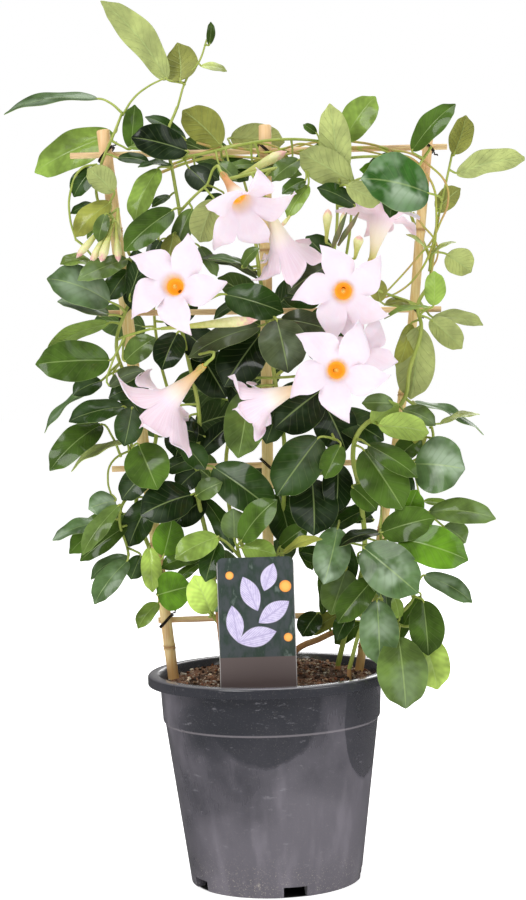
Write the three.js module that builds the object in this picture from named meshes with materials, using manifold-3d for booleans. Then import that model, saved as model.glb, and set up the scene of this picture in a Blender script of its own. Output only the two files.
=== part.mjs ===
// A mandevilla vine trained on a bamboo rack in a plastic nursery pot.
// Millimetres, +Z up. The origin is the centre of the pot's foot, and -Y is the front.

import * as THREE from "three";
import * as BufferGeometryUtils from "three/addons/utils/BufferGeometryUtils.js";
import Module from "manifold-3d";

const wasm = await Module();
wasm.setup();

// ---------------------------------------------------------------- driving dimensions

const GAP = 0.3; // running gap between pieces that touch

const POT_HEIGHT = 162;
const POT_BASE_R = 66;
const POT_WALL = 1.8;
const POT_BAND_Z = 124; // lower edge of the thicker band under the rim
const POT_BAND_R = 82.5;
const POT_BAND_STEP = 1.6;
const POT_RIM_Z = 154; // underside of the rim lip
const POT_RIM_R = 95;
const POT_LIP_R = 87; // inner edge of the rim's flat top
const POT_FLOOR_Z = 7;
const POT_PAD_R = 12; // pad under the middle of the floor, level with the foot
const POT_SIDES = 30;
const DRAIN_COUNT = 5;
const DRAIN_WIDTH = 18;
const DRAIN_HEIGHT = 8;
const DRAIN_TURN = -78; // degrees, the first drain slot faces the front

const SOIL_SIDES = 24;
const SOIL_EDGE_Z = 156;
const SOIL_MOUND = 13;
const SOIL_LUMP = 2;
const SOIL_RINGS = [0.86, 0.48];

const STICK_FOOT_R = { left: 4.1, centre: 3.9, right: 3.3 };
const STICK_TOP_R = { left: 5.1, centre: 4.9, right: 3.8 };
const STICK_SIDES = 9;
const STICK_NODE_RISE = 0.7; // how far a bamboo joint stands proud
const STICK_JOINTS = { left: [182, 262, 388, 505], centre: [240, 362, 486], right: [178, 268, 372, 498] };
const BAR_R = 2.4;
const BAR_SIDES = 7;
const BAR_Y = STICK_TOP_R.left + BAR_R + GAP;
const TIE_R = 0.7;
const TIE_SLACK = 0.5; // a loop is this much wider than its cane
const TIE_SIDES = 4;
const TIE_POINTS = 6;

const LABEL_WIDTH = 57;
const LABEL_TOP_Z = 256;
const LABEL_SHOULDER_Z = 150;
const LABEL_TIP_Z = 92;
const LABEL_CORNER = 5;
const LABEL_THICK = 0.8;
const LABEL_CENTRE = [-8.8, -70];

const LEAF_THICK = 0.8;
const PETIOLE_R = 0.9;
const SHORT_PETIOLE = 10; // a shorter one widens straight into its blade
const STEM_SIDES = 4;
const TWINE_R = 11.2; // distance of a twining stem from its stick's axis
const TWINE_STEPS = 7; // route points in one turn

const BLOOM_SIDES = 10;
const BLOOM_TUBE = 40;
const BLOOM_WALL = 0.8;
const THROAT_R = 9;
const PEDICEL_R = 1.5;

const COLOURS = {
  pot: 0x35363a,
  soil: 0x5b4334,
  bamboo: 0xe2bd7c,
  bar: 0xd9ab78,
  wire: 0x2c2724,
  label: 0x6f6768,
  leaf: 0x3f6b2c,
  petal: 0xf6e8f1,
};

// ---------------------------------------------------------------- the rack's axes

const STICKS = {
  left: [[-69.8, 0, 100], [-76, 0, 165], [-96, 0, 376], [-115.5, 0, 582]],
  centre: [[-3, 0, 88], [-1, 0, 165], [3, 0, 330], [9, 0, 582]],
  right: [[58, 0, 96], [70, 0, 165], [102, 0, 330], [117, 0, 420], [134.4, 0, 571]],
};

// height of each bar's left and right end, and where the ends lie
const BARS = [
  { from: [-86, 202], to: [88, 202] },
  { from: [-118, 321], to: [115, 320] },
  { from: [-124, 442], to: [141, 437] },
  { from: [-142, 564], to: [149, 562] },
];
const BAR_SPACING = 120.5; // mean height between two bars

// ---------------------------------------------------------------- small helpers

const vec = (p) => new THREE.Vector3(p[0], p[1], p[2]);

let seed = 4129;
function random() {
  seed = (seed * 16807) % 2147483647;
  return seed / 2147483647;
}

function solid(geometry) {
  const bare = geometry.clone();
  bare.deleteAttribute("normal");
  bare.deleteAttribute("uv");
  const merged = BufferGeometryUtils.mergeVertices(bare, 1e-4);
  return new wasm.Manifold(new wasm.Mesh({
    numProp: 3,
    vertProperties: new Float32Array(merged.attributes.position.array),
    triVerts: new Uint32Array(merged.index.array),
  }));
}

function geometryOf(manifold) {
  const mesh = manifold.getMesh();
  const geometry = new THREE.BufferGeometry();
  geometry.setAttribute("position", new THREE.BufferAttribute(new Float32Array(mesh.vertProperties), 3));
  geometry.setIndex(new THREE.BufferAttribute(new Uint32Array(mesh.triVerts), 1));
  geometry.computeVertexNormals();
  return geometry;
}

// Joins two rings of points. The second half of a ring is split along the other diagonal, so
// that the upper and lower face of a blade have the same triangles.
function joinRings(face, near, far) {
  const count = Math.max(near.length, far.length);
  const at = (ring, k) => ring[Math.floor(((k % count) * ring.length) / count)];
  for (let k = 0; k < count; k++) {
    const [a, b, c, d] = [at(near, k), at(near, k + 1), at(far, k), at(far, k + 1)];
    if (k < count / 2) {
      if (a !== b) face(a, b, c);
      if (c !== d) face(b, d, c);
    } else {
      if (c !== d) face(a, d, c);
      if (a !== b) face(a, b, d);
    }
  }
}

// A closed body through rings of points, which run anticlockwise seen from the far end.
function loft(rings) {
  const positions = [];
  const face = (a, b, c) => positions.push(...a.toArray(), ...b.toArray(), ...c.toArray());
  for (let i = 0; i + 1 < rings.length; i++) joinRings(face, rings[i], rings[i + 1]);
  const first = rings[0];
  const last = rings[rings.length - 1];
  for (let k = 1; k + 1 < first.length; k++) face(first[0], first[k + 1], first[k]);
  for (let k = 1; k + 1 < last.length; k++) face(last[0], last[k], last[k + 1]);
  const geometry = new THREE.BufferGeometry();
  geometry.setAttribute("position", new THREE.Float32BufferAttribute(positions, 3));
  return geometry;
}

function ringAround(centre, side, up, radius, sides, turn = 0) {
  const ring = [];
  for (let k = 0; k < sides; k++) {
    const angle = turn + (2 * Math.PI * k) / sides;
    ring.push(centre.clone().addScaledVector(side, radius * Math.cos(angle))
      .addScaledVector(up, radius * Math.sin(angle)));
  }
  return ring;
}

// Evenly parted points of a smooth curve through the route.
function smooth(route, steps) {
  const curve = new THREE.CatmullRomCurve3(route.map(vec), false, "catmullrom", 0.5);
  const count = (route.length - 1) * steps;
  return Array.from({ length: count + 1 }, (_, i) => curve.getPoint(i / count));
}

// A tapered tube along a row of points; radiusAt takes 0 at the root to 1 at the end.
function tube(points, radiusAt, sides) {
  const rings = [];
  let side = new THREE.Vector3(0.31, 0.95, 0.05);
  points.forEach((point, i) => {
    const before = points[Math.max(i - 1, 0)];
    const after = points[Math.min(i + 1, points.length - 1)];
    const along = after.clone().sub(before).normalize();
    side = side.clone().addScaledVector(along, -side.dot(along)).normalize();
    const up = along.clone().cross(side);
    rings.push(ringAround(point, side, up, radiusAt(i / (points.length - 1)), sides));
  });
  return loft(rings);
}

function piece(name, geometry, colour, roughness = 0.8) {
  const material = new THREE.MeshStandardMaterial({ color: colour, roughness, metalness: 0 });
  const mesh = new THREE.Mesh(geometry, material);
  mesh.name = name;
  return mesh;
}

// ---------------------------------------------------------------- pot

function wallRadius(z) {
  return POT_BASE_R + ((POT_BAND_R - POT_BASE_R) * z) / POT_BAND_Z;
}

function pot() {
  const bandTopR = POT_BAND_R + POT_BAND_STEP + 1.6;
  const outline = [
    [0, 0],
    [POT_PAD_R, 0],
    [POT_PAD_R + 3, POT_FLOOR_Z - POT_WALL],
    [POT_BASE_R - 9, POT_FLOOR_Z - POT_WALL],
    [POT_BASE_R - 7, 0],
    [POT_BASE_R, 0],
    [POT_BAND_R, POT_BAND_Z],
    [POT_BAND_R + POT_BAND_STEP, POT_BAND_Z + 2],
    [bandTopR, POT_RIM_Z],
    [POT_RIM_R, POT_RIM_Z],
    [POT_RIM_R, POT_HEIGHT - 1.5],
    [POT_RIM_R - 1.5, POT_HEIGHT],
    [POT_LIP_R, POT_HEIGHT],
    [bandTopR - POT_WALL, POT_HEIGHT - 6],
    [POT_BAND_R + POT_BAND_STEP - POT_WALL, POT_BAND_Z],
    [wallRadius(POT_FLOOR_Z) - POT_WALL, POT_FLOOR_Z],
    [0, POT_FLOOR_Z],
  ];
  const lathe = new THREE.LatheGeometry(outline.map(([r, z]) => new THREE.Vector2(r, z)), POT_SIDES);
  lathe.rotateX(Math.PI / 2);
  let body = solid(lathe);
  for (let i = 0; i < DRAIN_COUNT; i++) {
    const slot = new THREE.BoxGeometry(26, DRAIN_WIDTH, DRAIN_HEIGHT + 4);
    slot.translate(POT_BASE_R - 1, 0, DRAIN_HEIGHT / 2 - 2);
    slot.rotateZ(THREE.MathUtils.degToRad(DRAIN_TURN + (360 * i) / DRAIN_COUNT));
    body = body.subtract(solid(slot));
  }
  return body;
}

// ---------------------------------------------------------------- soil

function lump(x, y) {
  return Math.sin(x * 0.31 + 1.3) * Math.cos(y * 0.27) + 0.6 * Math.sin(x * 0.11 - y * 0.17 + 0.4);
}

function soilBlock() {
  const inner = (z) => wallRadius(z) - POT_WALL - GAP;
  const layer = (radius, z) => ringAround(vec([0, 0, z]), vec([1, 0, 0]), vec([0, 1, 0]), radius, SOIL_SIDES);
  const edge = POT_BAND_R - POT_WALL + POT_BAND_STEP - GAP;
  const rings = [
    layer(inner(POT_FLOOR_Z), POT_FLOOR_Z + GAP),
    layer(inner(POT_BAND_Z), POT_BAND_Z),
    layer(edge, SOIL_EDGE_Z),
  ];
  for (const share of SOIL_RINGS) {
    const ring = layer(edge * share, SOIL_EDGE_Z);
    ring.forEach((p) => {
      p.z += SOIL_MOUND * (1 - share * share) + SOIL_LUMP * lump(p.x, p.y);
    });
    rings.push(ring);
  }
  rings.push([vec([0, 0, SOIL_EDGE_Z + SOIL_MOUND])]);
  return solid(loft(rings));
}

// ---------------------------------------------------------------- rack

function stickAxis(stick, z) {
  const points = STICKS[stick];
  let i = 0;
  while (i + 2 < points.length && z > points[i + 1][2]) i++;
  const [low, high] = [points[i], points[i + 1]];
  return low[0] + ((high[0] - low[0]) * (z - low[2])) / (high[2] - low[2]);
}

function stickRadius(name, z) {
  const points = STICKS[name];
  const bottom = points[0][2];
  const top = points[points.length - 1][2];
  return STICK_FOOT_R[name] + ((STICK_TOP_R[name] - STICK_FOOT_R[name]) * (z - bottom)) / (top - bottom);
}

// Bamboo, with a ring standing proud at each joint.
function stick(name) {
  const bends = STICKS[name].map(([, , z]) => [z, 0]);
  const joints = STICK_JOINTS[name].flatMap((z) => [[z - 2.5, 0], [z, STICK_NODE_RISE], [z + 2.5, 0]]);
  const heights = [...bends, ...joints].sort((a, b) => a[0] - b[0]);
  const rings = heights.map(([z, rise]) => ringAround(vec([stickAxis(name, z), 0, z]), vec([1, 0, 0]),
    vec([0, 1, 0]), stickRadius(name, z) + rise, STICK_SIDES));
  return loft(rings);
}

// The hole that a stick leaves in the soil.
function stickHole(name) {
  const heights = [STICKS[name][0][2] - GAP, POT_HEIGHT + 30];
  const holeR = stickRadius(name, heights[1]) + STICK_NODE_RISE + GAP;
  return loft(heights.map((z) => ringAround(vec([stickAxis(name, z), 0, z]), vec([1, 0, 0]),
    vec([0, 1, 0]), holeR, STICK_SIDES)));
}

function barZ(bar, x) {
  const share = (x - bar.from[0]) / (bar.to[0] - bar.from[0]);
  return bar.from[1] + (bar.to[1] - bar.from[1]) * share;
}

function barGeometry(bar) {
  const points = smooth([[bar.from[0], BAR_Y, bar.from[1]], [bar.to[0], BAR_Y, bar.to[1]]], 2);
  return tube(points, () => BAR_R, BAR_SIDES);
}

// A wire loop on the slant round a stick and the bar behind it.
function tieGeometry(bar, name) {
  const z = barZ(bar, stickAxis(name, bar.from[1]));
  const lean = (stickAxis(name, z + 5) - stickAxis(name, z - 5)) / 10;
  const stickR = stickRadius(name, z);
  const centre = vec([stickAxis(name, z), (BAR_Y + BAR_R - stickR) / 2, z]);
  const slant = vec([1, 0, lean > 0 ? -1 : 1]).normalize();
  const clear = GAP + TIE_R;
  const halfDepth = (BAR_Y + BAR_R + stickR) / 2 + clear + TIE_SLACK / 2;
  const halfWidth = (stickR * Math.SQRT2) / (1 + Math.abs(lean)) + clear + TIE_SLACK;
  const cross = slant.clone().cross(vec([0, 1, 0]));
  const rings = [];
  for (let i = 0; i < TIE_POINTS; i++) {
    const angle = (2 * Math.PI * (i + 0.5)) / TIE_POINTS;
    const reach = 1 / Math.cos(Math.PI / TIE_POINTS);
    const out = slant.clone().multiplyScalar(Math.cos(angle))
      .addScaledVector(vec([0, 1, 0]), Math.sin(angle));
    const point = centre.clone().addScaledVector(slant, halfWidth * reach * Math.cos(angle))
      .addScaledVector(vec([0, 1, 0]), halfDepth * reach * Math.sin(angle));
    rings.push(ringAround(point, out, cross, TIE_R * 1.2, TIE_SIDES, Math.PI / 4));
  }
  const positions = [];
  const face = (a, b, c) => positions.push(...a.toArray(), ...b.toArray(), ...c.toArray());
  rings.forEach((ring, i) => joinRings(face, rings[(i + 1) % rings.length], ring));
  const geometry = new THREE.BufferGeometry();
  geometry.setAttribute("position", new THREE.Float32BufferAttribute(positions, 3));
  return geometry;
}

// ---------------------------------------------------------------- plant label

function labelGeometry(extra = 0) {
  const half = LABEL_WIDTH / 2 + extra;
  const top = LABEL_TOP_Z + extra;
  const outline = new THREE.Shape();
  outline.moveTo(0, LABEL_TIP_Z - extra);
  outline.lineTo(half, LABEL_SHOULDER_Z);
  outline.lineTo(half, top - LABEL_CORNER);
  outline.absarc(half - LABEL_CORNER, top - LABEL_CORNER, LABEL_CORNER, 0, Math.PI / 2, false);
  outline.absarc(-half + LABEL_CORNER, top - LABEL_CORNER, LABEL_CORNER, Math.PI / 2, Math.PI, false);
  outline.lineTo(-half, LABEL_SHOULDER_Z);
  outline.closePath();
  const depth = LABEL_THICK + 2 * extra;
  const geometry = new THREE.ExtrudeGeometry(outline, { depth, bevelEnabled: false, curveSegments: 4 });
  geometry.rotateX(Math.PI / 2);
  geometry.translate(LABEL_CENTRE[0], LABEL_CENTRE[1] + depth / 2, 0);
  return geometry;
}

// ---------------------------------------------------------------- leaves

// Share of the half width at shares of the length; shorter leaves have fewer stations.
const BLADES = [
  { below: 24, stations: [[0.45, 1]] },
  { below: 50, stations: [[0.26, 0.88], [0.66, 0.88]] },
  { below: Infinity, stations: [[0.2, 0.8], [0.5, 1], [0.8, 0.72]] },
];

// A number from 0 to 1 that belongs to one leaf, whatever its place in the list.
function ownChance(leaf, turn) {
  const wave = 1000 * Math.sin(leaf[0] + 1.7 * leaf[2] + 2.3 * leaf[4] + 5.1 * turn);
  return wave - Math.floor(wave);
}

// The upper side of a leaf faces the front at tilt 0 and upwards at tilt 90.
function leafFrame(base, tip, tilt) {
  const along = tip.clone().sub(base).normalize();
  const front = vec([0, -1, 0]).addScaledVector(along, along.y).normalize();
  const rise = along.clone().cross(front);
  if (rise.x * 0.35 + rise.z < 0) rise.negate();
  const angle = THREE.MathUtils.degToRad(tilt);
  const normal = front.multiplyScalar(Math.cos(angle)).addScaledVector(rise, Math.sin(angle));
  return { along, normal, side: along.clone().cross(normal) };
}

function petioleRing(centre, direction, normal, along) {
  let side = direction.clone().cross(normal);
  if (side.length() < 0.3) side = direction.clone().cross(along);
  side.normalize();
  const up = side.clone().cross(direction);
  return ringAround(centre, up, side, PETIOLE_R, 3, -Math.PI / 6);
}

function leafGeometry(leaf, root) {
  const base = vec(leaf.slice(0, 3));
  const tip = vec(leaf.slice(3, 6));
  const [width, tilt] = leaf.slice(6, 8);
  const length = base.distanceTo(tip);
  const arch = length * (0.05 + 0.06 * ownChance(leaf, 1));
  const fold = 0.1 + 0.12 * ownChance(leaf, 2);
  const { along, normal, side } = leafFrame(base, tip, tilt);
  const approach = base.clone().sub(root).normalize();
  const entry = approach.clone().add(along).normalize();
  const rings = [petioleRing(root, approach, normal, along)];
  if (root.distanceTo(base) > SHORT_PETIOLE) rings.push(petioleRing(base, entry, normal, along));
  for (const [share, spread] of BLADES.find(({ below }) => length < below).stations) {
    const middle = base.clone().lerp(tip, share).addScaledVector(normal, arch * Math.sin(Math.PI * share));
    const half = (width / 2) * spread;
    const ring = [];
    for (const [across, face] of [[-1, 1], [0, 1], [1, 1], [1, -1], [0, -1], [-1, -1]]) {
      ring.push(middle.clone().addScaledVector(side, across * half)
        .addScaledVector(normal, Math.abs(across) * half * fold + (face * LEAF_THICK) / 2));
    }
    rings.push(ring);
  }
  rings.push([tip]);
  return loft(rings);
}

// ---------------------------------------------------------------- stems

function nearestOn(points, target) {
  let best = { distance: Infinity };
  for (let i = 0; i + 1 < points.length; i++) {
    const line = new THREE.Line3(points[i], points[i + 1]);
    const point = line.closestPointToPoint(target, true, new THREE.Vector3());
    const distance = point.distanceTo(target);
    if (distance < best.distance) best = { point, distance };
  }
  return best;
}

function nearestOnAny(lines, target) {
  const nearest = lines.map((points) => nearestOn(points, target));
  return nearest.sort((a, b) => a.distance - b.distance)[0].point;
}

// Route points of a stem that twines round a stick; it passes in front of the stick at each bar.
function twine(name, fromZ, toZ, barAt) {
  const route = [];
  const step = BAR_SPACING / TWINE_STEPS;
  for (let z = fromZ; z <= toZ; z += step) {
    const angle = (2 * Math.PI * (z - barAt)) / BAR_SPACING;
    route.push([stickAxis(name, z) + TWINE_R * Math.sin(angle), -TWINE_R * Math.cos(angle), z]);
  }
  return route;
}

// Each vine has stems ([route, radius at the root, radius at the end, steps]), leaves
// ([base x, y, z, tip x, y, z, width, tilt]) and buds ([base x, y, z, tip x, y, z, radius]).
const VINES = [
  {
    name: "vine_left_stick",
    stems: [
      [[[-22, 8, 122], [-23, 6, 165], [-42, -12, 206], [-62, -18, 224], [-80, -16, 240],
        [-91, -15, 264], [-98, -10, 285], ...twine("left", 300, 580, 321), [-100, -4, 594]], 2, 1.1, 1],
      [[[-100, -4, 592], [-91, -3, 605], [-80, 0, 614], [-68, 2, 620]], 0.9, 0.7, 1],
      [[[-120, -8, 555], [-132, -10, 552], [-141, -10, 535], [-142, -12, 515], [-138, -14, 498]], 1, 0.8, 1],
      [[[-84, -5, 338], [-101, -18, 336], [-116, -22, 327], [-119, -24, 313], [-117, -24, 303]], 0.9, 0.8, 1],
      [[[-98, -5, 300], [-106, -20, 299], [-111, -26, 286], [-106, -24, 262]], 1.4, 1, 1],
      [[[-43, -13, 207], [-45, -30, 208], [-43, -48, 211]], 1.2, 1, 1],
      [[[-119, 4, 524], [-114, -14, 522], [-108, -28, 512]], 1.3, 1, 1],
      [[[-109, -5, 421], [-101, -28, 423], [-82, -48, 427]], 1.1, 1, 1],
    ],
    leaves: [
      [-119, 5, 607, -193, 10, 600, 24, 62],
      [-109, 24, 582, -174, 36, 556, 32, 20],
      [-94, -8, 566, -90, -6, 600, 16, 5],
      [-107, -18, 533, -126, -22, 551, 22, 150],
      [-123, -8, 552, -139, -10, 531, 18, 20],
      [-110, -20, 525, -138, -24, 500, 24, 35],
      [-112, -12, 518, -130, -14, 499, 14, 60],
      [-113, -34, 515, -119, -38, 494, 12, -10],
      [-125, -30, 480, -148, -38, 479, 20, 60],
      [-112, -32, 449, -157, -46, 468, 34, 30],
      [-114, -20, 440, -152, -26, 452, 26, 60],
      [-98, -30, 481, -134, -50, 466, 18, 25],
      [-97, -34, 452, -86, -42, 485, 18, 150],
      [-115, -14, 434, -165, -24, 411, 20, 125],
      [-114, -28, 405, -168, -46, 404, 32, 12],
      [-122, -14, 390, -144, -20, 380, 20, 40],
      [-129, 0, 385, -171, 10, 352, 20, 70],
      [-104, -34, 370, -145, -46, 361, 24, 45],
      [-122, -28, 357, -160, -52, 325, 25, 25],
      [-104, -30, 343, -147, -28, 323, 20, 72],
      [-97, -50, 369, -103, -60, 341, 22, 10],
      [-115, -34, 386, -88, -38, 397, 18, 50],
      [-103, -26, 404, -79, -34, 421, 20, 20],
      [-94, -36, 341, -80, -54, 308, 34, 5],
      [-113, -32, 299, -133, -40, 294, 20, 25],
      [-124, -12, 282, -164, -16, 270, 18, 55],
      [-110, -40, 296, -138, -54, 261, 16, 25],
      [-105, -30, 256, -134, -36, 241, 20, 60],
      [-105, -40, 254, -130, -56, 224, 20, 25],
      [-96, -24, 256, -104, -26, 238, 15, 0],
      [-89, -26, 262, -87, -36, 229, 16, 10],
      [-78, -36, 256, -70, -46, 284, 24, 10],
      [-84, -32, 226, -58, -50, 234, 30, 10],
      [-84, -20, 219, -100, -28, 201, 14, 30],
      [-43, -54, 214, -54, -66, 243, 26, 10],
      [-41, -54, 215, -28, -56, 232, 12, 20],
    ],
    buds: [
      [-74, -53, 427, -1, -62, 431, 4],
      [-111, -27, 512, -136, -38, 482, 3],
      [-109, -29, 510, -125, -42, 477, 3],
      [-108, -31, 508, -117, -46, 478, 3.6],
      [-106, -30, 509, -104, -40, 478, 3],
      [-104, -24, 520, -106, -30, 492, 3.4],
    ],
  },
  {
    name: "vine_left_inner",
    stems: [
      [[[-35, -12, 122], [-36, -14, 165], [-40, -22, 225], [-44, -26, 262], [-52, -24, 310],
        [-48, -22, 360], [-56, -26, 410], [-62, -28, 450], [-57, -26, 500], [-62, -20, 545],
        [-66, -14, 572], [-58, 2, 598]], 2, 1.2, 1],
      [[[-58, -26, 515], [-46, -34, 526], [-36, -36, 534]], 1.2, 1, 1],
      [[[-61, -28, 446], [-46, -24, 446], [-30, -28, 452]], 1.2, 1, 1],
      [[[-64, -18, 556], [-40, -12, 560], [-10, -12, 566], [20, -13, 569], [48, -14, 567], [66, -14, 563]],
        1.3, 1, 1],
      [[[-58, 2, 597], [-50, 14, 622], [-40, 20, 636], [-34, 20, 652]], 0.9, 0.7, 1],
    ],
    leaves: [
      [-65, 14, 621, -114, 22, 685, 26, 150],
      [-55, 8, 619, -57, 38, 652, 28, 165],
      [-32, 15, 647, -30, 12, 664, 7, 20],
      [-39, 20, 632, -19, 22, 628, 9, 40],
      [-50, -34, 560, -91, -42, 571, 28, 20],
      [-64, -28, 556, -94, -34, 565, 16, 60],
      [-62, -22, 551, -88, -26, 551, 14, 65],
      [-73, -24, 549, -92, -36, 509, 24, 35],
      [-62, -40, 516, -99, -52, 486, 24, 20],
      [-62, -42, 498, -67, -50, 478, 16, 160],
      [-48, -34, 517, -60, -40, 488, 18, 30],
      [-31, -42, 522, -43, -52, 490, 24, 160],
      [-50, -24, 549, -33, -34, 530, 20, 15],
      [-45, -12, 551, -27, -14, 540, 14, 20],
      [-27, -18, 552, -14, -22, 538, 14, 10],
      [-25, -6, 567, -53, -12, 594, 30, 150],
      [-18, 16, 575, 24, 18, 571, 24, 165],
      [-25, -30, 452, 18, -46, 437, 28, 15],
      [-62, -36, 424, -74, -48, 397, 24, 10],
      [-38, -34, 322, 6, -54, 289, 34, 15],
      [-55, -38, 302, -93, -54, 289, 32, 20],
      [-50, -24, 320, -66, -30, 306, 20, 20],
      [-52, -38, 301, -32, -46, 311, 16, 20],
      [-44, -26, 345, -65, -34, 352, 16, 25],
      [-60, -34, 340, -44, -42, 321, 18, 20],
    ],
    buds: [],
  },
  {
    name: "vine_centre",
    stems: [
      [[[4, -16, 122], [5, -17, 168], [10, -18, 230], [14, -20, 290], [16, -18, 340], [10, -22, 390],
        [6, -24, 430], [0, -22, 480], [0, -18, 520], [10, -20, 543], [24, -23, 549], [50, -22, 550],
        [78, -20, 553], [100, -20, 553]], 2, 1.1, 1],
      [[[-24, -28, 538], [-8, -30, 541], [12, -28, 545], [36, -22, 549.6]], 1.4, 1.3, 1],
    ],
    leaves: [
      [-9, -32, 379, -19, -46, 329, 32, 5],
      [13, -54, 431, 20, -74, 392, 36, 5],
      [16, -28, 432, 52, -36, 423, 20, 20],
      [0, -36, 427, -54, -45, 406, 20, 30],
      [0, -28, 421, -28, -40, 383, 36, 12],
      [-12, -38, 472, 1, -48, 485, 12, 40],
      [-3, -30, 470, -36, -40, 480, 12, 65],
      [48, -19, 572, 38, -20, 579, 7, 10],
      [64, -26, 534, 58, -36, 592, 24, 170],
      [73, -28, 534, 34, -38, 556, 27, 165],
      [68, -14, 566, 93, -18, 599, 26, 20],
      [38, -32, 536, 20, -38, 526, 12, 30],
      [40, -32, 532, 23, -40, 508, 14, 25],
      [34, -26, 552, 13, -30, 537, 18, 30],
    ],
    buds: [
      [30, -36, 514, 18, -44, 500, 1.6],
    ],
  },
  {
    name: "vine_right_inner",
    stems: [
      [[[8, -3, 122], [11, -6, 160], [20, -8, 177], [42, -8, 187], [60, -8, 198], [63, -8, 216],
        [60, -8, 250], [52, -12, 300], [50, -14, 350], [44, -18, 400], [48, -20, 440], [58, -18, 480],
        [62, -16, 520], [60, -17, 536]], 2.8, 1.1, 1],
      [[[50, -14, 352], [52, -24, 345], [54, -32, 340]], 1.2, 1, 1],
    ],
    leaves: [
      [42, -40, 342, 9, -60, 301, 36, 10],
      [36, -34, 311, 36, -54, 270, 38, 12],
      [68, -50, 529, 92, -66, 514, 18, 165],
      [75, -28, 516, 47, -34, 530, 16, 20],
      [50, -25, 470, 22, -30, 452, 22, 20],
      [58, -46, 336, 45, -56, 312, 18, 10],
      [56, -28, 322, 53, -42, 285, 24, 10],
      [54, -44, 274, 42, -62, 234, 28, 5],
      [60, -30, 241, 47, -46, 209, 28, 5],
      [58, -12, 207, 30, -20, 191, 14, 30],
      [72, -8, 197, 50, -10, 182, 16, 30],
    ],
    buds: [
      [52, -36, 488, 54, -42, 513, 2.4],
      [60, -34, 489, 66, -38, 511, 1.8],
    ],
  },
  {
    name: "vine_right_stick",
    stems: [
      [[[52, -8, 122], [52, -12, 165], [62, -22, 205], [74, -28, 250], [72, -30, 300], [68, -32, 333],
        [76, -32, 349], [92, -32, 358], [106, -30, 366], [113, -26, 392], [123, -20, 422],
        ...twine("right", 440, 566, 436)], 2.2, 1.1, 1],
      [[[108, -29, 370], [121, -26, 358], [129, -28, 342], [124, -32, 328], [113, -34, 322]], 1.2, 1, 1],
      [[[132, 0, 466], [136, -3, 490], [141, -5, 512], [147, -5, 536], [152, -3, 556]], 1.1, 0.9, 1],
    ],
    leaves: [
      [120, -16, 557, 153, -22, 591, 20, 25],
      [153, -8, 554, 163, -10, 583, 20, 150],
      [155, 2, 541, 211, 20, 553, 22, 145],
      [130, -42, 522, 79, -64, 533, 46, 20],
      [104, -28, 540, 79, -44, 541, 14, 0],
      [133, -18, 439, 134, -22, 465, 17, 10],
      [129, -26, 438, 94, -34, 431, 9, 65],
      [115, -20, 441, 95, -26, 441, 12, 60],
      [134, 6, 431, 174, 16, 425, 18, 125],
      [131, -8, 429, 155, -8, 406, 20, 160],
      [121, -20, 423, 113, -28, 368, 30, 165],
      [116, -12, 426, 104, -16, 391, 14, 10],
      [146, 2, 479, 165, 4, 465, 24, 150],
      [134, -10, 479, 152, -8, 488, 7, 65],
      [138, -6, 512, 157, -2, 529, 18, 150],
      [128, -16, 484, 114, -20, 494, 6, 60],
      [92, -28, 443, 88, -34, 460, 14, 170],
      [75, -46, 332, 102, -64, 288, 34, 5],
      [78, -56, 336, 113, -70, 312, 20, 30],
      [66, -38, 304, 84, -42, 286, 18, 20],
      [99, -42, 366, 75, -48, 367, 14, 10],
      [82, -38, 352, 102, -44, 366, 18, 160],
      [87, -44, 350, 124, -54, 344, 24, 150],
      [106, -36, 361, 130, -42, 349, 18, 40],
      [117, -4, 366, 173, 12, 340, 18, 70],
      [136, -12, 349, 167, -6, 356, 12, 70],
      [113, -42, 320, 149, -58, 316, 44, 15],
    ],
    buds: [],
  },
  {
    name: "vine_front_right",
    stems: [
      [[[58, -30, 122], [60, -31, 165], [70, -36, 198], [82, -42, 222], [86, -44, 248], [86, -46, 272]],
        2, 1.1, 1],
      [[[83, -42, 224], [92, -46, 208], [104, -46, 212], [114, -42, 232]], 1.4, 1, 1],
      [[[92, -46, 208], [98, -50, 200], [110, -44, 198]], 1.2, 1, 1],
      [[[86, -45, 262], [102, -44, 272], [118, -42, 284]], 1.2, 1, 1],
    ],
    leaves: [
      [85, -52, 270, 54, -58, 262, 18, 65],
      [80, -52, 236, 51, -64, 205, 22, 20],
      [86, -54, 270, 125, -66, 281, 26, 20],
      [103, -48, 277, 113, -58, 301, 22, 10],
      [122, -48, 284, 171, -60, 279, 22, 35],
      [134, -38, 272, 150, -44, 260, 22, 30],
      [98, -62, 266, 148, -76, 250, 32, 20],
      [72, -62, 260, 110, -80, 227, 38, 5],
      [68, -52, 254, 84, -56, 223, 12, 40],
      [118, -42, 236, 153, -52, 216, 18, 35],
      [81, -58, 220, 81, -68, 173, 30, 5],
      [116, -52, 218, 118, -62, 178, 27, 5],
      [96, -64, 193, 99, -80, 142, 38, 5],
      [115, -46, 191, 125, -54, 151, 28, 10],
      [98, -52, 205, 94, -56, 222, 10, 20],
    ],
    buds: [],
  },
  {
    name: "vine_front_left",
    stems: [
      [[[-10, -36, 122], [-10, -38, 165], [-14, -44, 225], [-22, -48, 262]], 1.8, 1.2, 1],
      [[[-14, -44, 232], [-2, -47, 248], [8, -50, 256]], 1.2, 1, 1],
      [[[-20, -47, 254], [-30, -50, 266], [-36, -50, 270]], 1.2, 1, 1],
    ],
    leaves: [
      [-19, -56, 267, 8, -67, 298, 24, 30],
      [-24, -46, 268, -24, -50, 291, 20, 10],
      [-18, -56, 262, 7, -62, 257, 18, 30],
      [10, -44, 261, 31, -46, 276, 16, 20],
      [12, -56, 257, 41, -62, 268, 12, 60],
      [-36, -56, 271, -68, -66, 257, 22, 30],
      [-36, -54, 267, -46, -66, 239, 18, 10],
    ],
    buds: [],
  },
  {
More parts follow.
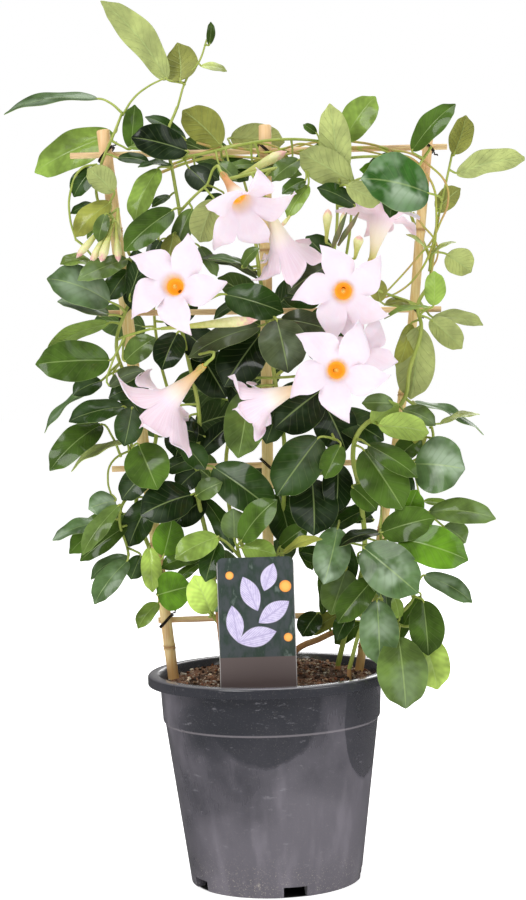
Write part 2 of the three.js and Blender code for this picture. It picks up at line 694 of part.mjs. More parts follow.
    name: "vine_back",
    stems: [
      [[[0, 44, 122], [0, 46, 165], [-10, 36, 230], [-30, 28, 300], [-20, 26, 370], [6, 26, 440],
        [0, 26, 505], [-10, 24, 548]], 2.2, 1.1, 1],
      [[[-30, 28, 300], [-62, 28, 350], [-82, 28, 430], [-76, 28, 510]], 1.5, 1, 1],
      [[[-20, 26, 370], [30, 30, 405], [66, 30, 470], [78, 28, 540]], 1.5, 1, 1],
    ],
    leaves: [],
    buds: [],
    // leaves in pairs along the stems, facing away from the front
    pairs: { every: 92, from: 215, length: 45, width: 30, lean: 0.45 },
  },
];

// Opposite leaves along each stem of a vine, by its spacing rule.
function pairedLeaves(lines, rule) {
  const leaves = [];
  for (const points of lines) {
    let travelled = rule.every / 2;
    for (let i = 1; i < points.length; i++) {
      travelled += points[i].distanceTo(points[i - 1]);
      if (travelled < rule.every || points[i].z < rule.from) continue;
      travelled -= rule.every;
      for (const hand of [-1, 1]) {
        const angle = 0.2 + 0.7 * random();
        const reach = rule.length * (0.8 + 0.3 * random());
        const lean = rule.lean * (0.6 + 0.8 * random());
        const way = vec([hand * Math.cos(angle), lean, Math.sin(angle) * 0.8]).normalize();
        const base = points[i].clone().addScaledVector(way, 9);
        const tip = base.clone().addScaledVector(way, reach);
        leaves.push([...base.toArray(), ...tip.toArray(), rule.width * (0.85 + 0.3 * random()), 150]);
      }
    }
  }
  return leaves;
}

// Share of a bud's radius at shares of its length.
const BUD = [[0, 0.4], [0.4, 0.85], [0.75, 1]];

function budGeometry(bud, root) {
  const base = vec(bud.slice(0, 3));
  const tip = vec(bud.slice(3, 6));
  const along = tip.clone().sub(base).normalize();
  const side = vec([0, -1, 0]).addScaledVector(along, along.y).normalize();
  const up = along.clone().cross(side);
  const rings = [ringAround(root, side, up, PETIOLE_R, 3)];
  for (const [share, r] of BUD) {
    rings.push(ringAround(base.clone().lerp(tip, share), side, up, bud[6] * r, 6));
  }
  rings.push([tip]);
  return loft(rings);
}

// ---------------------------------------------------------------- blooms

// [vine it grows from, throat x, y, z, facing x, y, z, petal reach, spin and closing in degrees]
const BLOOMS = [
  ["vine_left_inner", -9, -72, 515, 0.38, -0.66, -0.65, 40, 46, 25],
  ["vine_centre", 19, -43, 486, 0.28, 0.55, -0.78, 38, 50, 44],
  ["vine_left_inner", -62, -82, 458, -0.1, -0.98, 0.1, 38, 20, 0],
  ["vine_right_inner", 62, -76, 449, -0.05, -0.97, -0.1, 37, -10, 0],
  ["vine_right_inner", 55, -96, 392, 0, -0.98, 0, 38, 12, 0],
  ["vine_left_inner", -69, -60, 374, -0.69, 0.39, -0.61, 45, 70, 25],
  ["vine_centre", 2, -68, 371, -0.85, 0.42, -0.31, 32, 16, 41],
  ["vine_right_stick", 95, -22, 506, 0.26, 0.26, 0.93, 34, -10, 0],
  ["vine_right_inner", 73, -62, 407, 0.3, -0.9, 0.2, 31, 1, 0],
];

function bloomFrame(bloom) {
  const facing = vec(bloom.slice(4, 7)).normalize();
  const throat = vec(bloom.slice(1, 4));
  const side = vec([0, 0, 1]).cross(facing);
  if (side.length() < 0.3) side.set(1, 0, 0).addScaledVector(facing, -facing.x);
  side.normalize();
  return { facing, throat, side, up: facing.clone().cross(side) };
}

// A funnel with five skewed petals; each petal grows from two sides of the throat.
function bloomGeometry(bloom) {
  const { facing, throat, side, up } = bloomFrame(bloom);
  const reach = bloom[7];
  const spin = THREE.MathUtils.degToRad(bloom[8]);
  const point = (radius, degrees, forward) => {
    const angle = spin + THREE.MathUtils.degToRad(degrees);
    return throat.clone().addScaledVector(side, radius * Math.cos(angle))
      .addScaledVector(up, radius * Math.sin(angle)).addScaledVector(facing, forward);
  };
  const closing = THREE.MathUtils.degToRad(bloom[9]);
  const petalPoint = (radius, degrees, forward) => {
    const beyond = radius - THROAT_R;
    return point(THROAT_R + beyond * Math.cos(closing), degrees, forward + beyond * Math.sin(closing));
  };
  const step = 360 / BLOOM_SIDES;
  const ring = (radius, forward, sides = BLOOM_SIDES) => Array.from({ length: sides },
    (_, k) => point(radius, (360 * k) / sides, forward));
  const outside = [ring(1.6, -BLOOM_TUBE, 5), ring(3, -26, 5), ring(6.4, -12), ring(10, -1.2)];
  const inside = [ring(THROAT_R, 0), ring(5.2, -12, 5), [point(0, 0, -24)]];
  const positions = [];
  const face = (a, b, c) => positions.push(...a.toArray(), ...b.toArray(), ...c.toArray());
  for (let i = 0; i + 1 < outside.length; i++) joinRings(face, outside[i], outside[i + 1]);
  for (let i = 0; i + 1 < inside.length; i++) joinRings(face, inside[i], inside[i + 1]);
  const foot = outside[0];
  for (let k = 1; k + 1 < foot.length; k++) face(foot[0], foot[k + 1], foot[k]);
  const back = outside[3];
  const front = inside[0];
  for (let petal = 0; petal < 5; petal++) {
    const k = petal * 2;
    const middle = step * (k + 1);
    const stations = [
      [[0.57, -33, 3], [0.63, 0, 4], [0.58, 31, 2]],
      [[0.79, -13, 1], [0.77, 5, 2], [0.81, 22, 0]],
    ].map((row) => row.map(([share, turn, forward]) => [share * reach, middle + turn, forward]));
    const rows = [
      [0, 1, 2].map((j) => front[(k + j) % BLOOM_SIDES]),
      ...stations.map((row) => row.map(([r, angle, forward]) => petalPoint(r, angle, forward))),
    ];
    const backRows = [
      [0, 1, 2].map((j) => back[(k + j) % BLOOM_SIDES]),
      ...stations.map((row) => row.map(([r, angle, forward]) => petalPoint(r, angle, forward - BLOOM_WALL))),
    ];
    const tip = petalPoint(reach, middle + 16, -3);
    for (let row = 0; row < 2; row++) {
      for (let j = 0; j < 2; j++) {
        face(rows[row][j], rows[row + 1][j], rows[row][j + 1]);
        face(rows[row][j + 1], rows[row + 1][j], rows[row + 1][j + 1]);
        face(backRows[row][j], backRows[row][j + 1], backRows[row + 1][j]);
        face(backRows[row][j + 1], backRows[row + 1][j + 1], backRows[row + 1][j]);
      }
      face(rows[row][0], backRows[row][0], rows[row + 1][0]);
      face(backRows[row][0], backRows[row + 1][0], rows[row + 1][0]);
      face(rows[row][2], rows[row + 1][2], backRows[row][2]);
      face(backRows[row][2], rows[row + 1][2], backRows[row + 1][2]);
    }
    for (let j = 0; j < 2; j++) {
      face(rows[2][j], tip, rows[2][j + 1]);
      face(backRows[2][j], backRows[2][j + 1], tip);
    }
    face(rows[2][0], backRows[2][0], tip);
    face(rows[2][2], tip, backRows[2][2]);
  }
  const geometry = new THREE.BufferGeometry();
  geometry.setAttribute("position", new THREE.Float32BufferAttribute(positions, 3));
  return geometry;
}

// The flower stalk arrives along the funnel's axis and ends just short of it.
function pedicelRoute(bloom, lines) {
  const { facing, throat } = bloomFrame(bloom);
  const end = throat.clone().addScaledVector(facing, -BLOOM_TUBE - GAP);
  const bend = end.clone().addScaledVector(facing, -4);
  const knee = end.clone().addScaledVector(facing, -10);
  return [nearestOnAny(lines, knee), knee, bend, end];
}

// ---------------------------------------------------------------- a whole vine

function vineParts(vine) {
  const lines = vine.stems.map(([route, , , steps]) => smooth(route, steps));
  const tubes = lines.map((line, i) => {
    const [, root, end] = vine.stems[i];
    return tube(line, (share) => root + (end - root) * share, STEM_SIDES);
  });
  const attach = (target) => nearestOnAny(lines, target);
  for (const bloom of BLOOMS.filter(([name]) => name === vine.name)) {
    tubes.push(tube(pedicelRoute(bloom, lines), (share) => 1 + (PEDICEL_R - 1) * share, STEM_SIDES));
  }
  const buds = vine.buds.map((bud) => budGeometry(bud, attach(vec(bud.slice(0, 3)))));
  const list = vine.pairs ? pairedLeaves(lines, vine.pairs) : vine.leaves;
  const leaves = list.map((leaf) => leafGeometry(leaf, attach(vec(leaf.slice(0, 3)))));
  return { tubes, buds, leaves, lines };
}

function fuse(geometries) {
  return geometries.map(solid).reduce((whole, next) => whole.add(next));
}

// ---------------------------------------------------------------- the whole plant

const plant = new THREE.Group();
plant.name = "mandevilla";

plant.add(piece("pot", geometryOf(pot()), COLOURS.pot, 0.45));

const vines = VINES.map((vine) => ({ vine, parts: vineParts(vine) }));

let soil = soilBlock();
for (const name of Object.keys(STICKS)) soil = soil.subtract(solid(stickHole(name)));
soil = soil.subtract(solid(labelGeometry(GAP)));
for (const { vine, parts } of vines) {
  const [, root, end] = vine.stems[0];
  const clearOfSoil = parts.lines[0].findIndex((p) => p.z > POT_HEIGHT + 20);
  const foot = parts.lines[0].slice(0, clearOfSoil + 1);
  const below = foot[0].clone().sub(foot[1]).normalize().multiplyScalar(GAP).add(foot[0]);
  const holeR = (Math.max(root, end) + GAP) / Math.cos(Math.PI / STEM_SIDES);
  soil = soil.subtract(solid(tube([below, ...foot], () => holeR, STEM_SIDES)));
}
plant.add(piece("soil", geometryOf(soil), COLOURS.soil, 0.95));

for (const name of Object.keys(STICKS)) {
  plant.add(piece(`bamboo_${name}`, stick(name), COLOURS.bamboo, 0.6));
}
BARS.forEach((bar, i) => {
  plant.add(piece(`cross_bar_${i + 1}`, barGeometry(bar), COLOURS.bar, 0.6));
  for (const name of Object.keys(STICKS)) {
    plant.add(piece(`wire_tie_${i + 1}_${name}`, tieGeometry(bar, name), COLOURS.wire, 0.5));
  }
});
plant.add(piece("plant_label", labelGeometry(), COLOURS.label, 0.4));

for (const { vine, parts } of vines) {
  const whole = fuse([...parts.tubes, ...parts.buds, ...parts.leaves]);
  plant.add(piece(vine.name, geometryOf(whole), COLOURS.leaf, 0.45));
}
BLOOMS.forEach((bloom, i) => {
  plant.add(piece(`bloom_${i + 1}`, bloomGeometry(bloom), COLOURS.petal, 0.6));
});

export default plant;
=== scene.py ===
"""A mandevilla vine trained on a bamboo rack, in a plastic nursery pot with a plant label.

The file is laid out as an add-on: property groups hold the sizes and colours, one operator makes
each piece or group of like pieces, and main() calls the operators in order. Lengths in the lists
are millimetres; MM turns them into metres.
"""

import math

import bpy
import numpy as np
from mathutils import Matrix, Vector, noise


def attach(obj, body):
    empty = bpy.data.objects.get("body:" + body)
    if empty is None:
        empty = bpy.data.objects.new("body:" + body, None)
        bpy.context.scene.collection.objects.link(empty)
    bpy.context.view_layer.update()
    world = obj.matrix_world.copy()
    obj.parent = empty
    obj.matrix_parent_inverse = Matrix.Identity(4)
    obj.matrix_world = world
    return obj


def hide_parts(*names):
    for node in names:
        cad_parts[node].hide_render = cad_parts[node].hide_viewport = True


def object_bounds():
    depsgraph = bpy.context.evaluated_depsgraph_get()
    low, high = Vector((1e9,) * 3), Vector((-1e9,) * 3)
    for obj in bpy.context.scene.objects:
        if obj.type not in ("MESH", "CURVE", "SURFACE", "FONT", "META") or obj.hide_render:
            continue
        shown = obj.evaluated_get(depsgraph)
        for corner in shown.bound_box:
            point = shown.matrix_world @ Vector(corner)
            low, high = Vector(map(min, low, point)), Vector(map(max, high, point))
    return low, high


bl_info = {
    "name": "Potted Mandevilla",
    "version": (1, 0, 0),
    "blender": (4, 5, 0),
    "location": "3D View > Sidebar > Mandevilla",
    "description": "Makes a flowering mandevilla on a bamboo rack in a nursery pot",
    "category": "Add Mesh",
}

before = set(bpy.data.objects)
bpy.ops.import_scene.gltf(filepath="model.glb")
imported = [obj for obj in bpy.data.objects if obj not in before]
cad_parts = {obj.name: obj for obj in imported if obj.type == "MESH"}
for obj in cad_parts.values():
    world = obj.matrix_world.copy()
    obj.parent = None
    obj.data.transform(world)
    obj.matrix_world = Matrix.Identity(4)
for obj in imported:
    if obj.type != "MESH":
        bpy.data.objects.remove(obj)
CAD_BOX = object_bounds()
MM = 0.001

# ---------------------------------------------------------------- the rack, in millimetres

# (x, z) of each cane's axis from foot to top; the canes stand in the plane y = 0
CANES = {
    "left": [(-69.8, 100), (-76, 165), (-96, 376), (-115.5, 582)],
    "centre": [(-3, 88), (-1, 165), (3, 330), (9, 582)],
    "right": [(58, 96), (70, 165), (102, 330), (117, 420), (134.4, 571)],
}
# Heights of the canes' joints, and how far a cane swells round one, as shares of the joint's rise
CANE_JOINTS = {"left": [182, 262, 388, 505], "centre": [240, 362, 486],
               "right": [178, 268, 372, 498]}
JOINT_SWELLING = ((-6, 0.0), (-2.2, 0.25), (-1, 1.0), (0, 0.2), (1, 0.95), (2.4, 0.2), (6, 0.0))
CANE_FOOT_R = {"left": 4.1, "centre": 3.9, "right": 3.3}
CANE_TOP_R = {"left": 5.1, "centre": 4.9, "right": 3.8}

# (x, z) of each cross bar's left and right end
BARS = [((-86, 202), (88, 202)), ((-118, 321), (115, 320)),
        ((-124, 442), (141, 437)), ((-142, 564), (149, 562))]
BAR_R = 2.4
BAR_Y = 7.8
BAR_SPACING = 120.5
# Stems twine round a cane once from bar to bar
TWINE_R = 11.2
TWINE_STEPS = 7
# A tie's wire goes twice round a crossing and ends in a twisted tail
TIE_WIRE_R = 0.55
TIE_CLEAR = 1.5
TIE_TURNS = 2
TIE_SPREAD = 2.2
TIE_TAIL_KNOTS = 6


def cane_x(cane, z):
    """Where a cane's axis is at a height."""
    heights = [point[1] for point in CANES[cane]]
    return float(np.interp(z, heights, [point[0] for point in CANES[cane]]))


def cane_radius(cane, z):
    """How thick a cane is at a height, between its joints."""
    foot, top = CANES[cane][0][1], CANES[cane][-1][1]
    return CANE_FOOT_R[cane] + (CANE_TOP_R[cane] - CANE_FOOT_R[cane]) * (z - foot) / (top - foot)


def twine(cane, from_z, to_z, bar_z):
    """Points of a stem that twines round a cane and passes in front of it at each bar."""
    route = []
    z = from_z
    while z <= to_z:
        angle = 2 * math.pi * (z - bar_z) / BAR_SPACING
        route.append((cane_x(cane, z) + TWINE_R * math.sin(angle), -TWINE_R * math.cos(angle), z))
        z += BAR_SPACING / TWINE_STEPS
    return route


# ---------------------------------------------------------------- the plant, in millimetres

# Each vine has stems (route, radius at the root, radius at the end), leaves (base x, y, z,
# tip x, y, z, width, tilt in degrees, tone), buds (base x, y, z, tip x, y, z, radius) and inner
# leaves, which fill the shade between the others. A tone names the side that faces the front.
# A vine's woody height is where its main stem turns from brown bark to green.
VINES = {}
VINES["vine_left_stick"] = {
    "woody": 200,
    "stems": [
        ([(-22, 8, 122), (-23, 6, 165), (-42, -12, 206), (-62, -18, 224), (-80, -16, 240),
          (-91, -15, 264), (-98, -10, 285), *twine("left", 300, 580, 321), (-100, -4, 594)],
         2, 1.1),
        ([(-100, -4, 592), (-91, -3, 605), (-80, 0, 614), (-68, 2, 620)], 0.9, 0.7),
        ([(-120, -8, 555), (-132, -10, 552), (-141, -10, 535), (-142, -12, 515),
          (-138, -14, 498)], 1, 0.8),
        ([(-84, -5, 338), (-101, -18, 336), (-116, -22, 327), (-119, -24, 313),
          (-117, -24, 303)], 0.9, 0.8),
        ([(-98, -5, 300), (-106, -20, 299), (-111, -26, 286), (-106, -24, 262)], 1.4, 1),
        ([(-43, -13, 207), (-45, -30, 208), (-43, -48, 211)], 1.2, 1),
        ([(-119, 4, 524), (-114, -14, 522), (-108, -28, 512)], 1.3, 1),
        ([(-109, -5, 421), (-101, -28, 423), (-82, -48, 427)], 1.1, 1),
    ],
    "leaves": [
        (-119, 5, 607, -193, 10, 600, 24, 62, "grey"),
        (-109, 24, 582, -174, 36, 556, 32, 20, "light"),
        (-94, -8, 566, -90, -6, 600, 16, 5, "mid"),
        (-107, -18, 533, -126, -22, 551, 22, 150, "pale"),
        (-123, -8, 552, -139, -10, 531, 18, 20, "dark"),
        (-110, -20, 525, -138, -24, 500, 24, 35, "olive"),
        (-112, -12, 518, -130, -14, 499, 14, 60, "light"),
        (-113, -34, 515, -119, -38, 494, 12, -10, "fresh"),
        (-125, -30, 480, -148, -38, 479, 20, 60, "light"),
        (-112, -32, 449, -157, -46, 468, 34, 30, "grey"),
        (-114, -20, 440, -152, -26, 452, 26, 60, "grey"),
        (-98, -30, 481, -134, -50, 466, 18, 25, "fresh"),
        (-97, -34, 452, -86, -42, 485, 18, 150, "dark"),
        (-115, -14, 434, -165, -24, 411, 20, 125, "light"),
        (-114, -28, 405, -168, -46, 404, 32, 12, "mid"),
        (-122, -14, 390, -144, -20, 380, 20, 40, "dark"),
        (-129, 0, 385, -171, 10, 352, 20, 70, "grey"),
        (-104, -34, 370, -145, -46, 361, 24, 45, "dark"),
        (-122, -28, 357, -160, -52, 325, 25, 25, "mid"),
        (-104, -30, 343, -147, -28, 323, 20, 72, "pale"),
        (-97, -50, 369, -103, -60, 341, 22, 10, "dark"),
        (-115, -34, 386, -88, -38, 397, 18, 50, "slate"),
        (-103, -26, 404, -79, -34, 421, 20, 20, "fresh"),
        (-94, -36, 341, -80, -54, 308, 34, 5, "mid"),
        (-113, -32, 299, -133, -40, 294, 20, 25, "blue"),
        (-124, -12, 282, -164, -16, 270, 18, 55, "blue"),
        (-110, -40, 296, -138, -54, 261, 16, 25, "fresh"),
        (-105, -30, 256, -134, -36, 241, 20, 60, "blue"),
        (-105, -40, 254, -130, -56, 224, 20, 25, "grey"),
        (-96, -24, 256, -104, -26, 238, 15, 0, "dark"),
        (-89, -26, 262, -87, -36, 229, 16, 10, "yellow"),
        (-78, -36, 256, -70, -46, 284, 24, 10, "bright"),
        (-84, -32, 226, -58, -50, 234, 30, 10, "bright"),
        (-84, -20, 219, -100, -28, 201, 14, 30, "light"),
        (-43, -54, 214, -54, -66, 243, 26, 10, "yellow"),
        (-41, -54, 215, -28, -56, 232, 12, 20, "grey"),
    ],
    "buds": [
        (-74, -53, 427, -1, -62, 431, 4),
        (-111, -27, 512, -136, -38, 482, 3),
        (-109, -29, 510, -125, -42, 477, 3),
        (-108, -31, 508, -117, -46, 478, 3.6),
        (-106, -30, 509, -104, -40, 478, 3),
        (-104, -24, 520, -106, -30, 492, 3.4),
    ],
    "inner": [
        (-113, -12, 394, -90, -16, 357, 16, 15, "dark"),
        (-106, -24, 279, -142, -30, 254, 16, 20, "mid"),
        (-98, -22, 473, -114, -26, 451, 20, 20, "dark"),
        (-85, -22, 386, -116, -28, 377, 18, 30, "dark"),
        (-87, -20, 321, -109, -26, 299, 22, 20, "dark"),
        (-88, -18, 298, -105, -24, 263, 24, 15, "dark"),
        (-108, -8, 287, -152, -14, 259, 24, 35, "mid"),
        (-104, -14, 559, -79, -18, 554, 12, 40, "dark"),
        (-122, -6, 524, -142, -8, 519, 13, 50, "dark"),
        (-82, -14, 479, -94, -18, 440, 32, 10, "deep"),
    ],
}
VINES["vine_left_inner"] = {
    "woody": 230,
    "stems": [
        ([(-35, -12, 122), (-36, -14, 165), (-40, -22, 225), (-44, -26, 262), (-52, -24, 310),
          (-48, -22, 360), (-56, -26, 410), (-62, -28, 450), (-57, -26, 500), (-62, -20, 545),
          (-66, -14, 572), (-58, 2, 598)], 2, 1.2),
        ([(-58, -26, 515), (-46, -34, 526), (-36, -36, 534)], 1.2, 1),
        ([(-61, -28, 446), (-46, -24, 446), (-30, -28, 452)], 1.2, 1),
        ([(-64, -18, 556), (-40, -12, 560), (-10, -12, 566), (20, -13, 569), (48, -14, 567),
          (66, -14, 563)], 1.3, 1),
        ([(-58, 2, 597), (-50, 14, 622), (-40, 20, 636), (-34, 20, 652)], 0.9, 0.7),
    ],
    "leaves": [
        (-65, 14, 621, -114, 22, 685, 26, 150, "pale"),
        (-55, 8, 619, -57, 38, 652, 28, 165, "olive"),
        (-32, 15, 647, -30, 12, 664, 7, 20, "mid"),
        (-39, 20, 632, -19, 22, 628, 9, 40, "pale"),
        (-50, -34, 560, -91, -42, 571, 28, 20, "deep"),
        (-64, -28, 556, -94, -34, 565, 16, 60, "light"),
        (-62, -22, 551, -88, -26, 551, 14, 65, "dark"),
        (-73, -24, 549, -92, -36, 509, 24, 35, "light"),
        (-62, -40, 516, -99, -52, 486, 24, 20, "mid"),
        (-62, -42, 498, -67, -50, 478, 16, 160, "olive"),
        (-48, -34, 517, -60, -40, 488, 18, 30, "fresh"),
        (-31, -42, 522, -43, -52, 490, 24, 160, "pale"),
        (-50, -24, 549, -33, -34, 530, 20, 15, "deep"),
        (-45, -12, 551, -27, -14, 540, 14, 20, "dark"),
        (-27, -18, 552, -14, -22, 538, 14, 10, "fresh"),
        (-25, -6, 567, -53, -12, 594, 30, 150, "olive"),
        (-18, 16, 575, 24, 18, 571, 24, 165, "pale"),
        (-25, -30, 452, 18, -46, 437, 28, 15, "dark"),
        (-62, -36, 424, -74, -48, 397, 24, 10, "deep"),
        (-38, -34, 322, 6, -54, 289, 34, 15, "dark"),
        (-55, -38, 302, -93, -54, 289, 32, 20, "deep"),
        (-50, -24, 320, -66, -30, 306, 20, 20, "deep"),
        (-52, -38, 301, -32, -46, 311, 16, 20, "fresh"),
        (-44, -26, 345, -65, -34, 352, 16, 25, "deep"),
        (-60, -34, 340, -44, -42, 321, 18, 20, "dark"),
    ],
    "buds": [
        (-17, -13, 540, 25, -17, 559.5, 4.2),
    ],
    "inner": [
        (-24, -3, 556, -5, -5, 540, 20, 20, "dark"),
        (0, -6, 549, 36, -8, 543, 15, 25, "fresh"),
        (28, -4, 555, 4, -6, 552, 10, 30, "olive"),
        (-92, -14, 489, -95, -20, 444, 17, 15, "dark"),
        (-72, -24, 366, -55, -30, 327, 15, 10, "dark"),
        (-50, -22, 331, -22, -26, 356, 17, 15, "deep"),
        (-44, -12, 490, -31, -18, 467, 11, 20, "fresh"),
        (-38, -14, 479, 2, -18, 463, 5, 40, "slate"),
        (-55, -24, 361, -67, -30, 330, 26, 15, "deep"),
        (-48, -18, 411, -27, -22, 374, 32, 10, "deep"),
        (-58, -18, 426, -36, -22, 404, 28, 20, "deep"),
        (-46, -20, 330, -76, -24, 320, 18, 35, "dark"),
        (-46, -20, 298, -70, -26, 279, 24, 20, "deep"),
        (-47, -18, 298, -25, -24, 256, 17, 30, "dark"),
        (-52, -4, 572, -82, -6, 591, 12, 30, "dark"),
        (-50, -16, 254, -81, -22, 246, 17, 40, "mid"),
        (-24, -22, 527, -39, -26, 518, 12, 20, "dark"),
        (-65, -14, 529, -79, -18, 521, 10, 45, "dark"),
        (-73, -22, 495, -81, -24, 478, 14, 20, "dark"),
        (3, -8, 551, -22, -12, 549, 10, 40, "fresh"),
    ],
}
VINES["vine_centre"] = {
    "woody": 200,
    "stems": [
        ([(4, -16, 122), (5, -17, 168), (10, -18, 230), (14, -20, 290), (16, -18, 340),
          (10, -22, 390), (6, -24, 430), (0, -22, 480), (0, -18, 520), (10, -20, 543),
          (24, -23, 549), (50, -22, 550), (78, -20, 553), (100, -20, 553)], 2, 1.1),
        ([(-24, -28, 538), (-8, -30, 541), (12, -28, 545), (36, -22, 549.6)], 1.4, 1.3),
    ],
    "leaves": [
        (-9, -32, 379, -19, -46, 329, 32, 5, "fresh"),
        (13, -54, 431, 20, -74, 392, 36, 5, "slate"),
        (16, -28, 432, 52, -36, 423, 20, 20, "slate"),
        (0, -36, 427, -54, -45, 406, 20, 30, "slate"),
        (0, -28, 421, -28, -40, 383, 36, 12, "deep"),
        (-12, -38, 472, 1, -48, 485, 12, 40, "fresh"),
        (-3, -30, 470, -36, -40, 480, 12, 65, "grey"),
        (48, -19, 572, 38, -20, 579, 7, 10, "mid"),
        (64, -26, 534, 58, -36, 592, 24, 170, "pale"),
        (73, -28, 534, 34, -38, 556, 27, 165, "pale"),
        (68, -14, 566, 93, -18, 599, 26, 20, "light"),
        (38, -32, 536, 20, -38, 526, 12, 30, "mid"),
        (40, -32, 532, 23, -40, 508, 14, 25, "light"),
        (34, -26, 552, 13, -30, 537, 18, 30, "fresh"),
    ],
    "buds": [
        (30, -36, 514, 18, -44, 500, 1.6),
    ],
    "inner": [
        (-24, -18, 384, 3, -24, 348, 24, 10, "deep"),
        (24, -14, 478, 35, -18, 448, 15, 20, "fresh"),
        (6, -22, 373, -19, -28, 348, 30, 15, "deep"),
        (15, -16, 369, 2, -20, 338, 22, 10, "dark"),
        (3, -12, 465, -43, -18, 482, 11, 55, "slate"),
        (10, -16, 300, 19, -22, 259, 27, 10, "dark"),
        (-5, -12, 448, -35, -16, 435, 14, 50, "dark"),
    ],
}
VINES["vine_right_inner"] = {
    "woody": 420,
    "stems": [
        ([(8, -3, 122), (11, -6, 160), (20, -8, 177), (42, -8, 187), (60, -8, 198),
          (63, -8, 216), (60, -8, 250), (52, -12, 300), (50, -14, 350), (44, -18, 400),
          (48, -20, 440), (58, -18, 480), (62, -16, 520), (60, -17, 536)], 2.8, 1.1),
        ([(50, -14, 352), (52, -24, 345), (54, -32, 340)], 1.2, 1),
    ],
    "leaves": [
        (42, -40, 342, 9, -60, 301, 36, 10, "dark"),
        (36, -34, 311, 36, -54, 270, 38, 12, "deep"),
        (68, -50, 529, 92, -66, 514, 18, 165, "pale"),
        (75, -28, 516, 47, -34, 530, 16, 20, "dark"),
        (50, -25, 470, 22, -30, 452, 22, 20, "slate"),
        (58, -46, 336, 45, -56, 312, 18, 10, "mid"),
        (56, -28, 322, 53, -42, 285, 24, 10, "deep"),
        (54, -44, 274, 42, -62, 234, 28, 5, "blue"),
        (60, -30, 241, 47, -46, 209, 28, 5, "fresh"),
        (58, -12, 207, 30, -20, 191, 14, 30, "olive"),
        (72, -8, 197, 50, -10, 182, 16, 30, "mid"),
    ],
    "buds": [
        (52, -36, 488, 54, -42, 513, 3.6),
        (60, -34, 489, 66, -38, 511, 1.8),
        (72, -60, 474, 76, -62, 491, 3.8),
    ],
    "inner": [
        (45, -20, 377, 9, -28, 350, 40, 10, "deep"),
        (46, -18, 370, 63, -24, 331, 34, 12, "deep"),
        (56, -10, 473, 38, -14, 495, 22, 20, "dark"),
        (50, -12, 457, 22, -16, 470, 22, 25, "mid"),
        (47, -8, 446, 19, -12, 449, 22, 30, "dark"),
        (48, -12, 440, 44, -16, 420, 18, 20, "dark"),
        (56, -18, 359, 92, -24, 338, 26, 20, "dark"),
        (83, -14, 277, 52, -18, 281, 16, 45, "dark"),
        (56, -18, 264, 60, -22, 230, 16, 20, "dark"),
        (41, -14, 239, 42, -16, 204, 10, 30, "mid"),
        (48, -12, 247, 26, -16, 254, 16, 35, "dark"),
        (38, -16, 207, 25, -22, 190, 20, 30, "dark"),
    ],
}
VINES["vine_right_stick"] = {
    "woody": 200,
    "stems": [
        ([(52, -8, 122), (52, -12, 165), (62, -22, 205), (74, -28, 250), (72, -30, 300),
          (68, -32, 333), (76, -32, 349), (92, -32, 358), (106, -30, 366), (113, -26, 392),
          (123, -20, 422), *twine("right", 440, 566, 436)], 2.2, 1.1),
        ([(108, -29, 370), (121, -26, 358), (129, -28, 342), (124, -32, 328),
          (113, -34, 322)], 1.2, 1),
        ([(132, 0, 466), (136, -3, 490), (141, -5, 512), (147, -5, 536), (152, -3, 556)], 1.1, 0.9),
    ],
    "leaves": [
        (120, -16, 557, 153, -22, 591, 20, 25, "mid"),
        (153, -8, 554, 163, -10, 583, 20, 150, "olive"),
        (155, 2, 541, 211, 20, 553, 22, 145, "pale"),
        (130, -42, 522, 79, -64, 533, 46, 20, "gloss"),
        (104, -28, 540, 79, -44, 541, 14, 0, "bright"),
        (133, -18, 439, 134, -22, 465, 17, 10, "light"),
        (129, -26, 438, 94, -34, 431, 9, 65, "light"),
        (115, -20, 441, 95, -26, 441, 12, 60, "olive"),
        (134, 6, 431, 174, 16, 425, 18, 125, "pale"),
        (131, -8, 429, 155, -8, 406, 20, 160, "pale"),
        (121, -20, 423, 113, -28, 368, 30, 165, "pale"),
        (116, -12, 426, 104, -16, 391, 14, 10, "olive"),
        (146, 2, 479, 165, 4, 465, 24, 150, "pale"),
        (134, -10, 479, 152, -8, 488, 7, 65, "pale"),
        (138, -6, 512, 157, -2, 529, 18, 150, "olive"),
        (128, -16, 484, 114, -20, 494, 6, 60, "pale"),
        (92, -28, 443, 88, -34, 460, 14, 170, "olive"),
        (75, -46, 332, 102, -64, 288, 34, 5, "mid"),
        (78, -56, 336, 113, -70, 312, 20, 30, "mid"),
        (66, -38, 304, 84, -42, 286, 18, 20, "mid"),
        (99, -42, 366, 75, -48, 367, 14, 10, "fresh"),
        (82, -38, 352, 102, -44, 366, 18, 160, "yellow"),
        (87, -44, 350, 124, -54, 344, 24, 150, "yellow"),
        (106, -36, 361, 130, -42, 349, 18, 40, "fresh"),
        (117, -4, 366, 173, 12, 340, 18, 70, "blue"),
        (136, -12, 349, 167, -6, 356, 12, 70, "pale"),
        (113, -42, 320, 149, -58, 316, 44, 15, "blue"),
    ],
    "buds": [
    ],
    "inner": [
        (120, -18, 338, 101, -24, 323, 19, 25, "mid"),
        (104, -20, 316, 111, -24, 293, 13, 20, "dark"),
        (122, -10, 290, 144, -14, 285, 8, 40, "light"),
        (103, -34, 529, 100, -46, 505, 15, 10, "dark"),
        (108, -14, 352, 123, -18, 332, 16, 30, "olive"),
    ],
}
